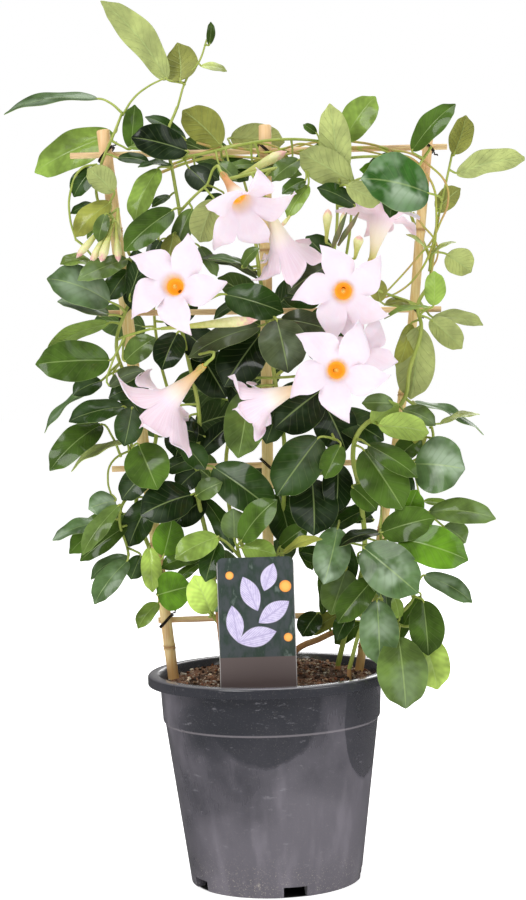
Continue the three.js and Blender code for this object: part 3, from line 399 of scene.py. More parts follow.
VINES["vine_front_right"] = {
    "woody": 190,
    "stems": [
        ([(58, -30, 122), (60, -31, 165), (70, -36, 198), (82, -42, 222), (86, -44, 248),
          (86, -46, 272)], 2, 1.1),
        ([(83, -42, 224), (92, -46, 208), (104, -46, 212), (114, -42, 232)], 1.4, 1),
        ([(92, -46, 208), (98, -50, 200), (110, -44, 198)], 1.2, 1),
        ([(86, -45, 262), (102, -44, 272), (118, -42, 284)], 1.2, 1),
    ],
    "leaves": [
        (85, -52, 270, 54, -58, 262, 18, 65, "deep"),
        (80, -52, 236, 51, -64, 205, 22, 20, "mid"),
        (86, -54, 270, 125, -66, 281, 26, 20, "mid"),
        (103, -48, 277, 113, -58, 301, 22, 10, "bright"),
        (122, -48, 284, 171, -60, 279, 22, 35, "fresh"),
        (134, -38, 272, 150, -44, 260, 22, 30, "fresh"),
        (98, -62, 266, 148, -76, 250, 32, 20, "bright"),
        (72, -62, 260, 110, -80, 227, 38, 5, "blue"),
        (68, -52, 254, 84, -56, 223, 12, 40, "grey"),
        (118, -42, 236, 153, -52, 216, 18, 35, "grey"),
        (81, -58, 220, 81, -68, 173, 30, 5, "grey"),
        (116, -52, 218, 118, -62, 178, 27, 5, "mid"),
        (96, -64, 193, 99, -80, 142, 38, 5, "fresh"),
        (115, -46, 191, 125, -54, 151, 28, 10, "yellow"),
        (98, -52, 205, 94, -56, 222, 10, 20, "light"),
    ],
    "buds": [
    ],
    "inner": [
        (60, -14, 262, 64, -20, 228, 13, 20, "dark"),
        (86, -22, 289, 48, -28, 271, 14, 25, "dark"),
        (26, -12, 259, 35, -16, 240, 10, 20, "mid"),
        (89, -34, 225, 90, -38, 186, 24, 15, "dark"),
        (116, -30, 219, 97, -34, 185, 12, 30, "mid"),
        (64, -26, 209, 51, -30, 187, 16, 30, "dark"),
    ],
}
VINES["vine_front_left"] = {
    "woody": 120,
    "stems": [
        ([(-10, -36, 122), (-10, -38, 165), (-14, -44, 225), (-22, -48, 262)], 1.8, 1.2),
        ([(-14, -44, 232), (-2, -47, 248), (8, -50, 256)], 1.2, 1),
        ([(-20, -47, 254), (-30, -50, 266), (-36, -50, 270)], 1.2, 1),
    ],
    "leaves": [
        (-19, -56, 267, 8, -67, 298, 24, 30, "mid"),
        (-24, -46, 268, -24, -50, 291, 20, 10, "fresh"),
        (-18, -56, 262, 7, -62, 257, 18, 30, "light"),
        (10, -44, 261, 31, -46, 276, 16, 20, "mid"),
        (12, -56, 257, 41, -62, 268, 12, 60, "olive"),
        (-36, -56, 271, -68, -66, 257, 22, 30, "light"),
        (-36, -54, 267, -46, -66, 239, 18, 10, "dark"),
    ],
    "buds": [
    ],
    "inner": [
        (-50, -20, 249, -72, -26, 234, 9, 25, "mid"),
    ],
}
VINES["vine_back"] = {
    "woody": 250,
    "stems": [
        ([(0, 44, 122), (0, 46, 165), (-10, 36, 230), (-30, 28, 300), (-20, 26, 370),
          (6, 26, 440), (0, 26, 505), (-10, 24, 548)], 2.2, 1.1),
        ([(-30, 28, 300), (-62, 28, 350), (-82, 28, 430), (-76, 28, 510)], 1.5, 1),
        ([(-20, 26, 370), (30, 30, 405), (66, 30, 470), (78, 28, 540)], 1.5, 1),
    ],
    "leaves": [],
    "buds": [],
    "inner": [],
}

# vine it grows from, throat x, y, z, facing x, y, z, petal reach, spin and closing in degrees
BLOOMS = [
    ("vine_left_inner", -9, -72, 515, 0.38, -0.66, -0.65, 40, 46, 25),
    ("vine_centre", 19, -43, 486, 0.28, 0.55, -0.78, 38, 50, 44),
    ("vine_left_inner", -62, -82, 458, -0.1, -0.98, 0.1, 38, 20, 0),
    ("vine_right_inner", 62, -76, 449, -0.05, -0.97, -0.1, 37, -10, 0),
    ("vine_right_inner", 55, -96, 392, 0, -0.98, 0, 38, 12, 0),
    ("vine_left_inner", -69, -60, 374, -0.69, 0.39, -0.61, 45, 70, 25),
    ("vine_centre", 2, -68, 371, -0.85, 0.42, -0.31, 32, 16, 41),
    ("vine_right_stick", 95, -22, 506, 0.26, 0.26, 0.93, 34, -10, 0),
    ("vine_right_inner", 73, -62, 407, 0.3, -0.9, 0.2, 31, 1, 0),
]

# Thin young shoots that wind along the top bar and round the right cane: route, radius
YOUNG_SHOOTS = [
    ([(-64, 1, 554), (-46, 2, 560), (-26, 2, 566), (-6, -7, 563), (9, -9, 560), (24, -7, 563),
      (38, 2, 567), (52, 3, 562), (66, 2, 557)], 1.1),
    ([(-58, 13, 568), (-36, 13, 561), (-14, 13, 556), (9, 13.5, 558), (30, 13, 565), (50, 4, 568),
      (70, 2, 563), (90, 2, 559), (108, 2, 554), (124, -6, 548)], 1.0),
    ([(-72, -2, 548), (-52, 0, 555), (-30, 0, 559), (-6, -8, 557), (9, -10, 555), (24, -8, 558),
      (38, -1, 562)], 1.2),
    ([(-44, -2, 570), (-28, -2, 566), (-10, -9, 567), (10, -10, 566), (28, -4, 560),
      (44, 0, 557)], 0.9),
    ([(60, 0, 567), (75, 0, 563), (92, 1, 562), (108, 1, 557), (122, -7, 551), (131, -8, 540),
      (137, -7, 528), (138, -8, 512), (137, -8, 493), (134, -8, 470), (131, -9, 452)], 1.1),
    ([(58, 2, 571), (74, 3, 568), (90, 2, 565), (106, 1, 560), (120, -6, 556), (134, -8, 546),
      (146, -8, 532), (147, -8, 517), (141, -8, 503), (134, -8, 489), (123, -9, 477),
      (113, -10, 466), (96, -14, 449)], 1.0),
    ([(120, -8, 511), (128, -8.5, 500), (136, -7, 490), (139, 2, 478), (133, 8, 466)], 0.9),
    ([(140, -5, 507), (133, -9, 482), (122, -9, 463), (108, -10, 451), (92, -12, 445)], 1.0),
]
# Slim dark pods behind the upper right bloom: route, radii
PODS = [
    ([(55, -58, 482), (59, -59, 490), (63, -60, 499), (67, -60, 508)], [0.9, 2.3, 1.9, 0.5]),
    ([(60, -57, 484), (65, -58, 492), (71, -59, 500), (76, -60, 508)], [0.9, 2.2, 1.8, 0.5]),
]

# The back vine has pairs of leaves along its stems, facing away from the front.
BACK_PAIRS = {"every": 92, "from": 215, "length": 45, "width": 30, "lean": 0.45, "first_draw": 4129}
BACK_TILT = 150

# Length of a bloom's tube, and radii of its mouth and of stalks
BLOOM_TUBE = 40
THROAT_R = 9.3
FLOWER_STALK_R = 1.5
LEAF_STALK_R = 0.9
# Pairs of side veins on a leaf, and the length from which a leaf has the finer mesh
SIDE_VEINS = 8
LONG_LEAF = 26
# How much painted sheen, a painted reflection, lies on leaves of a tone
PAINTED_SHEEN = {"slate": 0.15, "grey": 0.48, "blue": 0.78, "gloss": 0.85, "dark": 0.12, "deep": 0.10,
         "fresh": 0.2}
# How far a leaf's underside leans from its tone to the underside's colour
UNDERSIDE_LEAN = 0.55


# ---------------------------------------------------------------- sizes and colours


def size(name, description, millimetres):
    """A length that the sidebar can change."""
    return bpy.props.FloatProperty(name=name, description=description, default=millimetres * MM,
                                   precision=5, unit="LENGTH")


def swing(name, description, degrees):
    """An angle that the sidebar can change."""
    return bpy.props.FloatProperty(name=name, description=description,
                                   default=math.radians(degrees), subtype="ANGLE")


def tint(name, description, default):
    """A colour that the sidebar can change."""
    return bpy.props.FloatVectorProperty(name=name, description=description, default=default,
                                         min=0.0, max=1.0, size=3, subtype="COLOR")


class PotSettings(bpy.types.PropertyGroup):
    """The nursery pot."""

    edge: size("Edge", "Rounding of the pot's edges", 0.6)
    plastic: tint("Plastic", "Colour of the moulded plastic", (0.030, 0.031, 0.038))
    # The haze colour is partly the plastic's dull haze and partly a painted reflection of the
    # bright room
    haze_and_reflection: tint("Haze", "Colour of the dull haze on the plastic", (0.172, 0.158, 0.186))
    dust: tint("Dust", "Colour of dried splashes", (0.42, 0.38, 0.33))


class SoilSettings(bpy.types.PropertyGroup):
    """The compost and the crumbs on it."""

    crumbs: bpy.props.IntProperty(name="Crumbs", description="Loose crumbs and chips",
                                  default=1300, min=0)
    crumb: size("Crumb", "Size of a middling crumb", 1.7)
    peat: tint("Peat", "Colour of damp peat", (0.045, 0.024, 0.016))
    dry_peat: tint("Dry peat", "Colour of the dry top", (0.27, 0.140, 0.085))
    chip: tint("Chips", "Colour of bark and straw chips", (0.60, 0.50, 0.38))


class RackSettings(bpy.types.PropertyGroup):
    """Canes, cross bars and their wire ties."""

    joint_rise: size("Joint rise", "How far a bamboo joint stands proud", 0.7)
    straw: tint("Straw", "Main colour of the canes", (0.80, 0.56, 0.22))
    pale_straw: tint("Pale straw", "Colour of the canes' pale streaks", (0.90, 0.72, 0.37))
    joint: tint("Joint", "Colour of the canes' joints", (0.34, 0.16, 0.06))
    bar: tint("Bar", "Colour of the cross bars", (0.72, 0.45, 0.26))
    wire: tint("Wire", "Colour of the wire", (0.022, 0.018, 0.016))


class LabelSettings(bpy.types.PropertyGroup):
    """The plant label."""

    width: size("Width", "Width of the card", 57)
    thickness: size("Thickness", "Thickness of the card", 0.8)
    corner: size("Corner", "Radius of the card's top corners", 5)
    field: tint("Field", "Colour of the upper panel", (0.055, 0.068, 0.072))
    band: tint("Band", "Colour of the lower band", (0.115, 0.085, 0.080))
    motif: tint("Motif", "Colour of the pale motif", (0.70, 0.64, 0.84))
    shade: tint("Shade", "Colour of the motif's shadows", (0.44, 0.38, 0.62))
    accent: tint("Accent", "Colour of the round accents", (0.90, 0.30, 0.04))


class LeafSettings(bpy.types.PropertyGroup):
    """Leaves, stems and buds."""

    thickness: size("Thickness", "Thickness of a leaf blade", 0.45)
    quilting: size("Quilting", "Depth of the hollows along the side veins", 0.04)
    rib: size("Rib", "Height of the midrib under the blade", 0.7)
    deep: tint("Deep", "Tone of the darkest leaves", (0.006, 0.017, 0.002))
    dark: tint("Dark", "Tone of dark leaves", (0.019, 0.048, 0.005))
    slate: tint("Slate", "Tone of dull grey-green leaves", (0.055, 0.072, 0.030))
    mid: tint("Mid", "Tone of most leaves", (0.056, 0.108, 0.014))
    fresh: tint("Fresh", "Tone of fresh leaves", (0.100, 0.160, 0.034))
    bright: tint("Bright", "Tone of bright leaves", (0.086, 0.192, 0.012))
    light: tint("Light", "Tone of young leaves", (0.205, 0.310, 0.055))
    olive: tint("Olive", "Tone of olive leaves", (0.250, 0.268, 0.050))
    pale: tint("Pale", "Tone of pale leaves", (0.390, 0.450, 0.150))
    yellow: tint("Yellow", "Tone of yellow-green leaves", (0.410, 0.570, 0.110))
    # Grey, blue and gloss leaves carry the most painted sheen
    grey: tint("Grey", "Tone of leaves with a soft sheen", (0.072, 0.128, 0.042))
    blue: tint("Blue", "Tone of leaves with a strong sheen", (0.078, 0.140, 0.048))
    gloss: tint("Gloss", "Tone of the glossiest leaf", (0.034, 0.105, 0.016))
    # The sheen is a painted reflection laid into the leaves' colour
    painted_sheen: tint("Sheen", "Colour of the waxy sheen", (0.46, 0.58, 0.42))
    underside: tint("Underside", "Colour that undersides lean to", (0.34, 0.42, 0.16))
    vein: tint("Vein", "Colour of midribs and side veins", (0.42, 0.55, 0.20))
    stem: tint("Stem", "Colour of green stems", (0.30, 0.38, 0.06))
    shoot: tint("Shoot", "Colour that young shoots flush to", (0.56, 0.34, 0.13))
    bark: tint("Bark", "Colour of woody stems", (0.50, 0.23, 0.085))


class BloomSettings(bpy.types.PropertyGroup):
    """The flowers."""

    thickness: size("Thickness", "Thickness of a petal", 0.5)
    petal: tint("Petal", "Colour of the petals", (0.81, 0.705, 0.78))
    blush: tint("Blush", "Colour of the petals' blush", (0.80, 0.53, 0.64))
    throat: tint("Throat", "Colour deep in the throat", (0.84, 0.32, 0.010))
    throat_rim: tint("Throat rim", "Colour at the throat's rim", (0.92, 0.48, 0.030))
    back: tint("Back", "Colour of the petals' backs", (0.90, 0.73, 0.82))
    tube: tint("Tube", "Colour of the tube's outside", (0.82, 0.74, 0.52))
    tube_foot: tint("Tube foot", "Colour of the tube's foot", (0.55, 0.54, 0.14))
    flush: tint("Flush", "Colour that some tubes flush to", (0.62, 0.27, 0.09))
    calyx: tint("Calyx", "Colour of the sepals", (0.42, 0.24, 0.06))


class StageSettings(bpy.types.PropertyGroup):
    """Camera, lights and floor."""

    distance: size("Distance", "Camera to the canes", 1500)
    height: size("Height", "Height of the camera", 388)
    pitch: swing("Pitch", "How far the camera looks down", 2.2)
    roll: swing("Roll", "Turn about the line of sight", 1.8)
    lens: bpy.props.FloatProperty(name="Lens", description="Focal length in mm", default=77.68)
    floor: tint("Floor", "Colour of the floor", (0.90, 0.90, 0.90))


SETTINGS = {
    "mandevilla_pot": PotSettings,
    "mandevilla_soil": SoilSettings,
    "mandevilla_rack": RackSettings,
    "mandevilla_label": LabelSettings,
    "mandevilla_leaf": LeafSettings,
    "mandevilla_bloom": BloomSettings,
    "mandevilla_stage": StageSettings,
}


# ---------------------------------------------------------------- small helpers

# Points nearer to each other than this, in metres, are doubled
DOUBLED = 1e-6
# How far the foliage and petals stay inside the frame's box, in mm
BOX_MARGIN = 0.6


def deselect():
    """Clears the selection."""
    bpy.ops.object.select_all(action="DESELECT")


def only(piece):
    """Selects one piece and makes it active."""
    deselect()
    piece.select_set(True)
    bpy.context.view_layer.objects.active = piece


def apply_modifiers(piece):
    """Applies a piece's modifiers in their order."""
    only(piece)
    for modifier in list(piece.modifiers):
        bpy.ops.object.modifier_apply(modifier=modifier.name)


def edit(piece, *steps):
    """Runs edit-mode steps on all of a piece; a step is an operator and its settings."""
    only(piece)
    bpy.ops.object.mode_set(mode="EDIT")
    bpy.ops.mesh.select_all(action="SELECT")
    for operator, settings in steps:
        operator(**settings)
    bpy.ops.object.mode_set(mode="OBJECT")


def points_of(piece):
    """The points of a piece's mesh, as rows of x, y and z in metres."""
    flat = np.empty(len(piece.data.vertices) * 3)
    piece.data.vertices.foreach_get("co", flat)
    return flat.reshape(-1, 3)


def set_points(piece, points):
    piece.data.vertices.foreach_set("co", np.asarray(points, float).ravel())
    piece.data.update()


def within(points):
    """Points in mm, held just inside the frame's box."""
    low, high = (np.array(corner) / MM for corner in CAD_BOX)
    return np.clip(points, low + BOX_MARGIN, high - BOX_MARGIN)


def copy_of(piece):
    """A copy with a mesh of its own."""
    twin = piece.copy()
    twin.data = piece.data.copy()
    bpy.context.collection.objects.link(twin)
    return twin


def join(pieces):
    """Joins pieces to the first of them."""
    deselect()
    for piece in pieces:
        piece.select_set(True)
    bpy.context.view_layer.objects.active = pieces[0]
    if len(pieces) > 1:
        bpy.ops.object.join()
    return pieces[0]


def give_attribute(piece, name, values):
    """A number for each point of a piece, or a colour where values has rows."""
    values = np.asarray(values, float)
    kind, key = ("FLOAT_COLOR", "color") if values.ndim == 2 else ("FLOAT", "value")
    attribute = piece.data.attributes.get(name) or piece.data.attributes.new(name, kind, "POINT")
    attribute.data.foreach_set(key, values.ravel())


def hand_over(piece, name, slot, *nodes):
    """Names a finished piece and ties it to the frame."""
    piece.name = name
    piece.data.name = name
    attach(piece, "root")
    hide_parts(*nodes)


def smooth_faces(piece, degrees=None):
    """Shades a piece smooth, all over or up to an angle between faces."""
    only(piece)
    if degrees is None:
        bpy.ops.object.shade_smooth()
    else:
        bpy.ops.object.shade_smooth_by_angle(angle=math.radians(degrees))


def placed(name, data):
    """A new object in the scene for a mesh, curve, light or camera."""
    piece = bpy.data.objects.new(name, data)
    bpy.context.collection.objects.link(piece)
    return piece


def to_mesh(curve):
    """The mesh of a curve object, with doubled points merged."""
    only(curve)
    bpy.ops.object.convert(target="MESH")
    piece = bpy.context.object
    edit(piece, (bpy.ops.mesh.remove_doubles, {"threshold": DOUBLED}))
    return piece


def rods(name, strands, materials, roundness=2, steps=5):
    """Round rods along strands of (points in mm, radii in mm, material number)."""
    curve = bpy.data.curves.new(name, "CURVE")
    curve.dimensions = "3D"
    curve.bevel_depth = MM
    curve.bevel_resolution = roundness
    curve.resolution_u = steps
    curve.use_fill_caps = True
    for material in materials:
        curve.materials.append(material)
    for points, radii, material in strands:
        spline = curve.splines.new("BEZIER")
        spline.bezier_points.add(len(points) - 1)
        spline.material_index = material
        for knot, point, radius in zip(spline.bezier_points, points, radii):
            knot.co = Vector(point) * MM
            knot.radius = radius
            knot.handle_left_type = "AUTO"
            knot.handle_right_type = "AUTO"
    piece = to_mesh(placed(name, curve))
    smooth_faces(piece, 50)
    return piece


def unit(vector):
    """The vector at length 1."""
    return vector / np.linalg.norm(vector)


def ease(low, high, value):
    """Goes softly from 0 to 1 while a value goes from low to high."""
    share = np.clip((value - low) / (high - low), 0, 1)
    return share * share * (3 - 2 * share)


def through(knots, at):
    """A smooth line through (place, value) knots, read at given places."""
    places = np.array([knot[0] for knot in knots], float)
    values = np.array([knot[1] for knot in knots], float)
    slopes = np.gradient(values, places)
    index = np.clip(np.searchsorted(places, at, side="right") - 1, 0, len(places) - 2)
    step = places[index + 1] - places[index]
    t = (at - places[index]) / step
    return ((2 * t**3 - 3 * t**2 + 1) * values[index] + (t**3 - 2 * t**2 + t) * step * slopes[index]
            + (3 * t**2 - 2 * t**3) * values[index + 1] + (t**3 - t**2) * step * slopes[index + 1])


def chances(seed):
    """Numbers from 0 to 1, the same on every run."""
    while True:
        seed = seed * 16807 % 2147483647
        yield seed / 2147483647


def own_chance(leaf, turn):
    """A number from 0 to 1 that belongs to one leaf."""
    wave = 1000 * math.sin(leaf[0] + 1.7 * leaf[2] + 2.3 * leaf[4] + 5.1 * turn)
    return wave - math.floor(wave)


# ---------------------------------------------------------------- materials


class Finish:
    """A material, with short ways to add and link its nodes."""

    def __init__(self, name, **sockets):
        self.material = bpy.data.materials.new(name)
        self.material.use_nodes = True
        self.tree = self.material.node_tree
        self.surface = self.tree.nodes["Principled BSDF"]
        for key, value in sockets.items():
            self.surface.inputs[key.replace("_", " ")].default_value = value

    def node(self, kind, feeds, **settings):
        """A node whose inputs take values or links, and whose settings are given by name."""
        node = self.tree.nodes.new(kind)
        for key, value in settings.items():
            setattr(node, key, value)
        for key, value in feeds.items():
            if isinstance(value, bpy.types.NodeSocket):
                self.tree.links.new(value, node.inputs[key])
            else:
                node.inputs[key].default_value = value
        return node

    def place(self, stretch=(1, 1, 1)):
        """Object coordinates in metres, stretched along an axis where grain runs."""
        here = self.node("ShaderNodeTexCoord", {}).outputs["Object"]
        if stretch == (1, 1, 1):
            return here
        return self.node("ShaderNodeMapping", {"Vector": here, "Scale": stretch}).outputs[0]

    def axes(self, vector):
        """The x, y and z of a vector."""
        return self.node("ShaderNodeSeparateXYZ", {0: vector}).outputs

    def uv(self):
        """The piece's own UV map, across and along."""
        vector = self.node("ShaderNodeUVMap", {}, uv_map="UVMap").outputs[0]
        return self.axes(vector)

    def attribute(self, name, output="Fac"):
        """What give_attribute left on a piece's points."""
        return self.node("ShaderNodeAttribute", {}, attribute_name=name).outputs[output]

    def math(self, operation, first, second=0.0):
        return self.node("ShaderNodeMath", {0: first, 1: second}, operation=operation).outputs[0]

    def plus(self, first, second):
        return self.math("ADD", first, second)

    def minus(self, first, second):
        return self.math("SUBTRACT", first, second)

    def times(self, first, second):
        return self.math("MULTIPLY", first, second)

    def over(self, first, second):
        return self.math("DIVIDE", first, second)

    def away(self, value, centre):
        """How far a value lies from a centre, on either side."""
        return self.math("ABSOLUTE", self.minus(value, centre))

    def squares(self, first, second):
        """The sum of two squares."""
        return self.plus(self.math("POWER", first, 2), self.math("POWER", second, 2))

    def mix(self, share, first, second, blend="MIX"):
        """Two colours mixed, or blended in another way, by the share of the second."""
        first = first if isinstance(first, bpy.types.NodeSocket) else (*first, 1)
        second = second if isinstance(second, bpy.types.NodeSocket) else (*second, 1)
        return self.node("ShaderNodeMix", {0: share, 6: first, 7: second},
                         data_type="RGBA", blend_type=blend).outputs[2]

    def scaled(self, colour, factor):
        """A colour made lighter or darker by a factor."""
        return self.mix(1.0, colour, factor, "MULTIPLY")

    def veiled(self, mask, strength, colour, veil):
        """A colour with another laid over it, where a mask says and as strongly as told."""
        return self.mix(self.times(mask, strength), colour, veil)

    def step(self, value, low, high, to_low=0.0, to_high=1.0):
        """Eases a value from to_low to to_high while it goes from low to high."""
        return self.node("ShaderNodeMapRange", {0: value, 1: low, 2: high, 3: to_low, 4: to_high},
                         interpolation_type="SMOOTHSTEP").outputs[0]

    def noise(self, place, scale, detail=3.0, roughness=0.55):
        return self.node("ShaderNodeTexNoise", {"Vector": place, "Scale": scale, "Detail": detail,
                                                "Roughness": roughness}).outputs[0]

    def ramp(self, value, *stops):
        """Colours at places of a value."""
        node = self.node("ShaderNodeValToRGB", {0: value})
        elements = node.color_ramp.elements
        while len(elements) < len(stops):
            elements.new(0.5)
        for element, (position, colour) in zip(elements, stops):
            element.position = position
            element.color = (*colour, 1)
        return node.outputs[0]

    def bump(self, height, depth, below=None, strength=1.0):
        """Bumps as deep as told in metres, over other bumps if there are any."""
        feeds = {"Height": height, "Distance": depth, "Strength": strength}
        if below is not None:
            feeds["Normal"] = below
        return self.node("ShaderNodeBump", feeds).outputs[0]

    def wear(self, colour, roughness=None, normal=None, glow=None):
        """Links the finished colour, roughness, normal and glow to the surface."""
        for key, value in (("Base Color", colour), ("Roughness", roughness), ("Normal", normal),
                           ("Emission Color", glow)):
            if value is not None:
                self.tree.links.new(value, self.surface.inputs[key])
        return self.material


# Patches of painted dark reflection on the pot's front, where the haze gives way to bare, glossier
# plastic: centre x, z and half sizes in mm
DARK_REFLECTION_PATCHES = ((-6, 150, 44, 50), (69, 126, 15, 44))


def pot_plastic(pot):
    """Dark moulded plastic with a dull haze that is partly a painted reflection, painted dark
    reflections on glossier patches, painted highlights on two edges, scuffs and dust.
    """
    finish = Finish("moulded plastic", IOR=1.5, Coat_Weight=0.6, Coat_Roughness=0.07)
    place = finish.place()
    side, depth, height = finish.axes(place)[0:3]
    # The haze, partly a painted reflection of the bright room, grows towards the foot and lies in
    # clouds and streaks
    sink = finish.times(finish.step(height, 0.05, 0.15), 0.12)
    cloud = finish.step(finish.minus(finish.noise(place, 9, 5, 0.5), sink), 0.22, 0.56)
    streak = finish.step(finish.noise(finish.place((1, 1, 0.22)), 60, 3), 0.42, 0.70)
    haze_and_reflection = finish.times(cloud, finish.step(streak, 0, 1, 0.72, 1.0))
    ragged = finish.noise(place, 60, 4, 0.6)
    # Painted dark reflections: soft patches on the front where the haze gives way to bare dark
    # plastic
    for x, z, half_wide, half_high in DARK_REFLECTION_PATCHES:
        across = finish.over(finish.minus(side, x * MM), half_wide * MM)
        up = finish.over(finish.minus(height, z * MM), half_high * MM)
        ring = finish.plus(finish.squares(across, up), finish.times(ragged, 0.3))
        front = finish.step(depth, -0.01, 0, 1, 0)
        dark_reflection = finish.times(finish.step(ring, 1.02, 1.22, 0.75, 0), front)
        haze_and_reflection = finish.times(haze_and_reflection, finish.minus(1, dark_reflection))
    colour = finish.mix(haze_and_reflection, pot.plastic, pot.haze_and_reflection)
    # The rim keeps the bare dark plastic, without the haze and its painted reflection
    rim = finish.step(height, POT_RIM[0] * MM, POT_RIM[1] * MM)
    colour = finish.veiled(rim, 0.85, colour, pot.plastic)
    # A painted highlight: a paler line along the band's lower edge
    fold = finish.away(height, POT_FOLD * MM)
    colour = finish.mix(finish.step(fold, 0.0004, 0.0012, 0.45, 0), colour, (0.30, 0.27, 0.29))
    # Scuffs lighten the plastic, and so does a painted highlight along the lip's top edge
    scuff = finish.step(finish.noise(finish.place((1, 1, 3)), 75, 5, 0.7), 0.60, 0.72, 0, 0.35)
    lip_highlight = finish.step(height, POT_LIP_HIGHLIGHT[0] * MM, POT_LIP_HIGHLIGHT[1] * MM, 0, 0.6)
    colour = finish.mix(finish.math("MAXIMUM", scuff, lip_highlight), colour, (0.30, 0.29, 0.32))
    foot = finish.step(height, 0.0, 0.04, 1.0, 0.10)
    specks = finish.step(finish.noise(place, 900, 2, 0.7), 0.60, 0.70)
    splash = finish.step(finish.noise(place, 130, 5, 0.75), 0.60, 0.78)
    dust = finish.times(finish.math("MAXIMUM", specks, splash), foot)
    colour = finish.mix(dust, colour, pot.dust)
    scratches = finish.noise(finish.place((1, 1, 0.08)), 700, 2, 0.6)
    rough = finish.step(finish.plus(haze_and_reflection, finish.times(scratches, 0.3)), 0, 1.3, 0.20, 0.44)
    grain = finish.bump(finish.noise(place, 1500, 2), 0.0001, strength=0.35)
    return finish.wear(colour, rough, finish.bump(scratches, 0.0001, grain, 0.3))


def soil_crumb(soil):
    """Peat with a dry top, pale chips and painted shade in its hollows."""
    finish = Finish("compost", Roughness=0.95, Specular_IOR_Level=0.25)
    place = finish.place()
    coarse = finish.noise(place, 90, 5, 0.7)
    fine = finish.noise(place, 420, 4, 0.75)
    colour = finish.mix(finish.step(coarse, 0.38, 0.66), soil.peat, soil.dry_peat)
    colour = finish.mix(finish.step(fine, 0.54, 0.68), colour, soil.chip)
    # Painted shade: near-black spots stand for the shade in the compost's hollows
    painted_hollow_shade = finish.step(finish.noise(place, 230, 3), 0.30, 0.42, 0.85, 0.0)
    colour = finish.mix(painted_hollow_shade, colour, (0.012, 0.008, 0.006))
    return finish.wear(colour, None, finish.bump(fine, 0.0016, finish.bump(coarse, 0.004)))


def crumb_finish():
    """The crumbs' own tones, with a grain."""
    finish = Finish("crumbs", Roughness=0.9, Specular_IOR_Level=0.25)
    place = finish.place()
    grain = finish.noise(place, 900, 3, 0.7)
    colour = finish.mix(finish.step(grain, 0.35, 0.65), (0.35, 0.33, 0.32), (1.25, 1.2, 1.15))
    colour = finish.scaled(finish.attribute("crumb_colour", "Color"), colour)
    return finish.wear(colour, None, finish.bump(grain, 0.0006))


def bamboo_finish(rack):
    """Streaked bamboo, redder at its foot and top and dark at its joints."""
    finish = Finish("bamboo", IOR=1.48)
    grain = finish.noise(finish.place((1, 1, 0.03)), 900, 4, 0.6)
    blotch = finish.noise(finish.place((1, 1, 0.35)), 55, 3, 0.6)
    colour = finish.mix(finish.step(grain, 0.35, 0.65), rack.straw, rack.pale_straw)
    colour = finish.mix(finish.step(blotch, 0.52, 0.70, 0.0, 0.55), colour, (0.62, 0.33, 0.16))
    height = finish.axes(finish.place())[2]
    colour = finish.mix(finish.step(height, 0.47, 0.57, 0, 0.5), colour, (0.76, 0.42, 0.24))
    colour = finish.mix(finish.step(height, 0.163, 0.185, 0.7, 0), colour, (0.55, 0.27, 0.09))
    joint = finish.times(finish.attribute("joint"), finish.step(grain, 0.2, 0.7, 0.6, 1.0))
    colour = finish.mix(joint, colour, rack.joint)
    rough = finish.step(grain, 0.3, 0.7, 0.34, 0.52)
    return finish.wear(colour, rough, finish.bump(grain, 0.0002, strength=0.5))


def bar_finish(rack):
    """Split cane with its grain along the bar."""
    finish = Finish("split cane")
    grain = finish.noise(finish.place((0.03, 1, 1)), 1100, 4, 0.65)
    patch = finish.noise(finish.place((0.4, 1, 1)), 60, 3)
    colour = finish.mix(finish.step(grain, 0.35, 0.68), rack.bar, rack.pale_straw)
    colour = finish.mix(finish.step(patch, 0.5, 0.7, 0.0, 0.5), colour, rack.joint)
    return finish.wear(colour, finish.step(grain, 0.3, 0.7, 0.5, 0.7), finish.bump(grain, 0.0003))


def wire_finish(rack):
    """Dark wire, dull in places."""
    finish = Finish("annealed wire", Metallic=0.6)
    dull = finish.noise(finish.place(), 1200, 3, 0.7)
    colour = finish.mix(finish.step(dull, 0.45, 0.7), rack.wire, (0.09, 0.06, 0.045))
    return finish.wear(colour, finish.step(dull, 0.3, 0.7, 0.38, 0.65), finish.bump(dull, 0.0001))


# Pale leaves and round berries printed on the card: centre x, z, half length, half height and
# turn in degrees
SPRIG = ((-25, 207, 14, 6.5, 98), (-9, 197, 15, 7.5, 14), (-13, 229, 14, 7, 112),
         (4, 215, 14, 7, 34), (1, 241, 11, 6, 70))
BERRIES = ((13, 234, 4.4, 4.4, 0), (14, 196, 3.2, 3.2, 0), (-28, 243, 3, 3, 0))


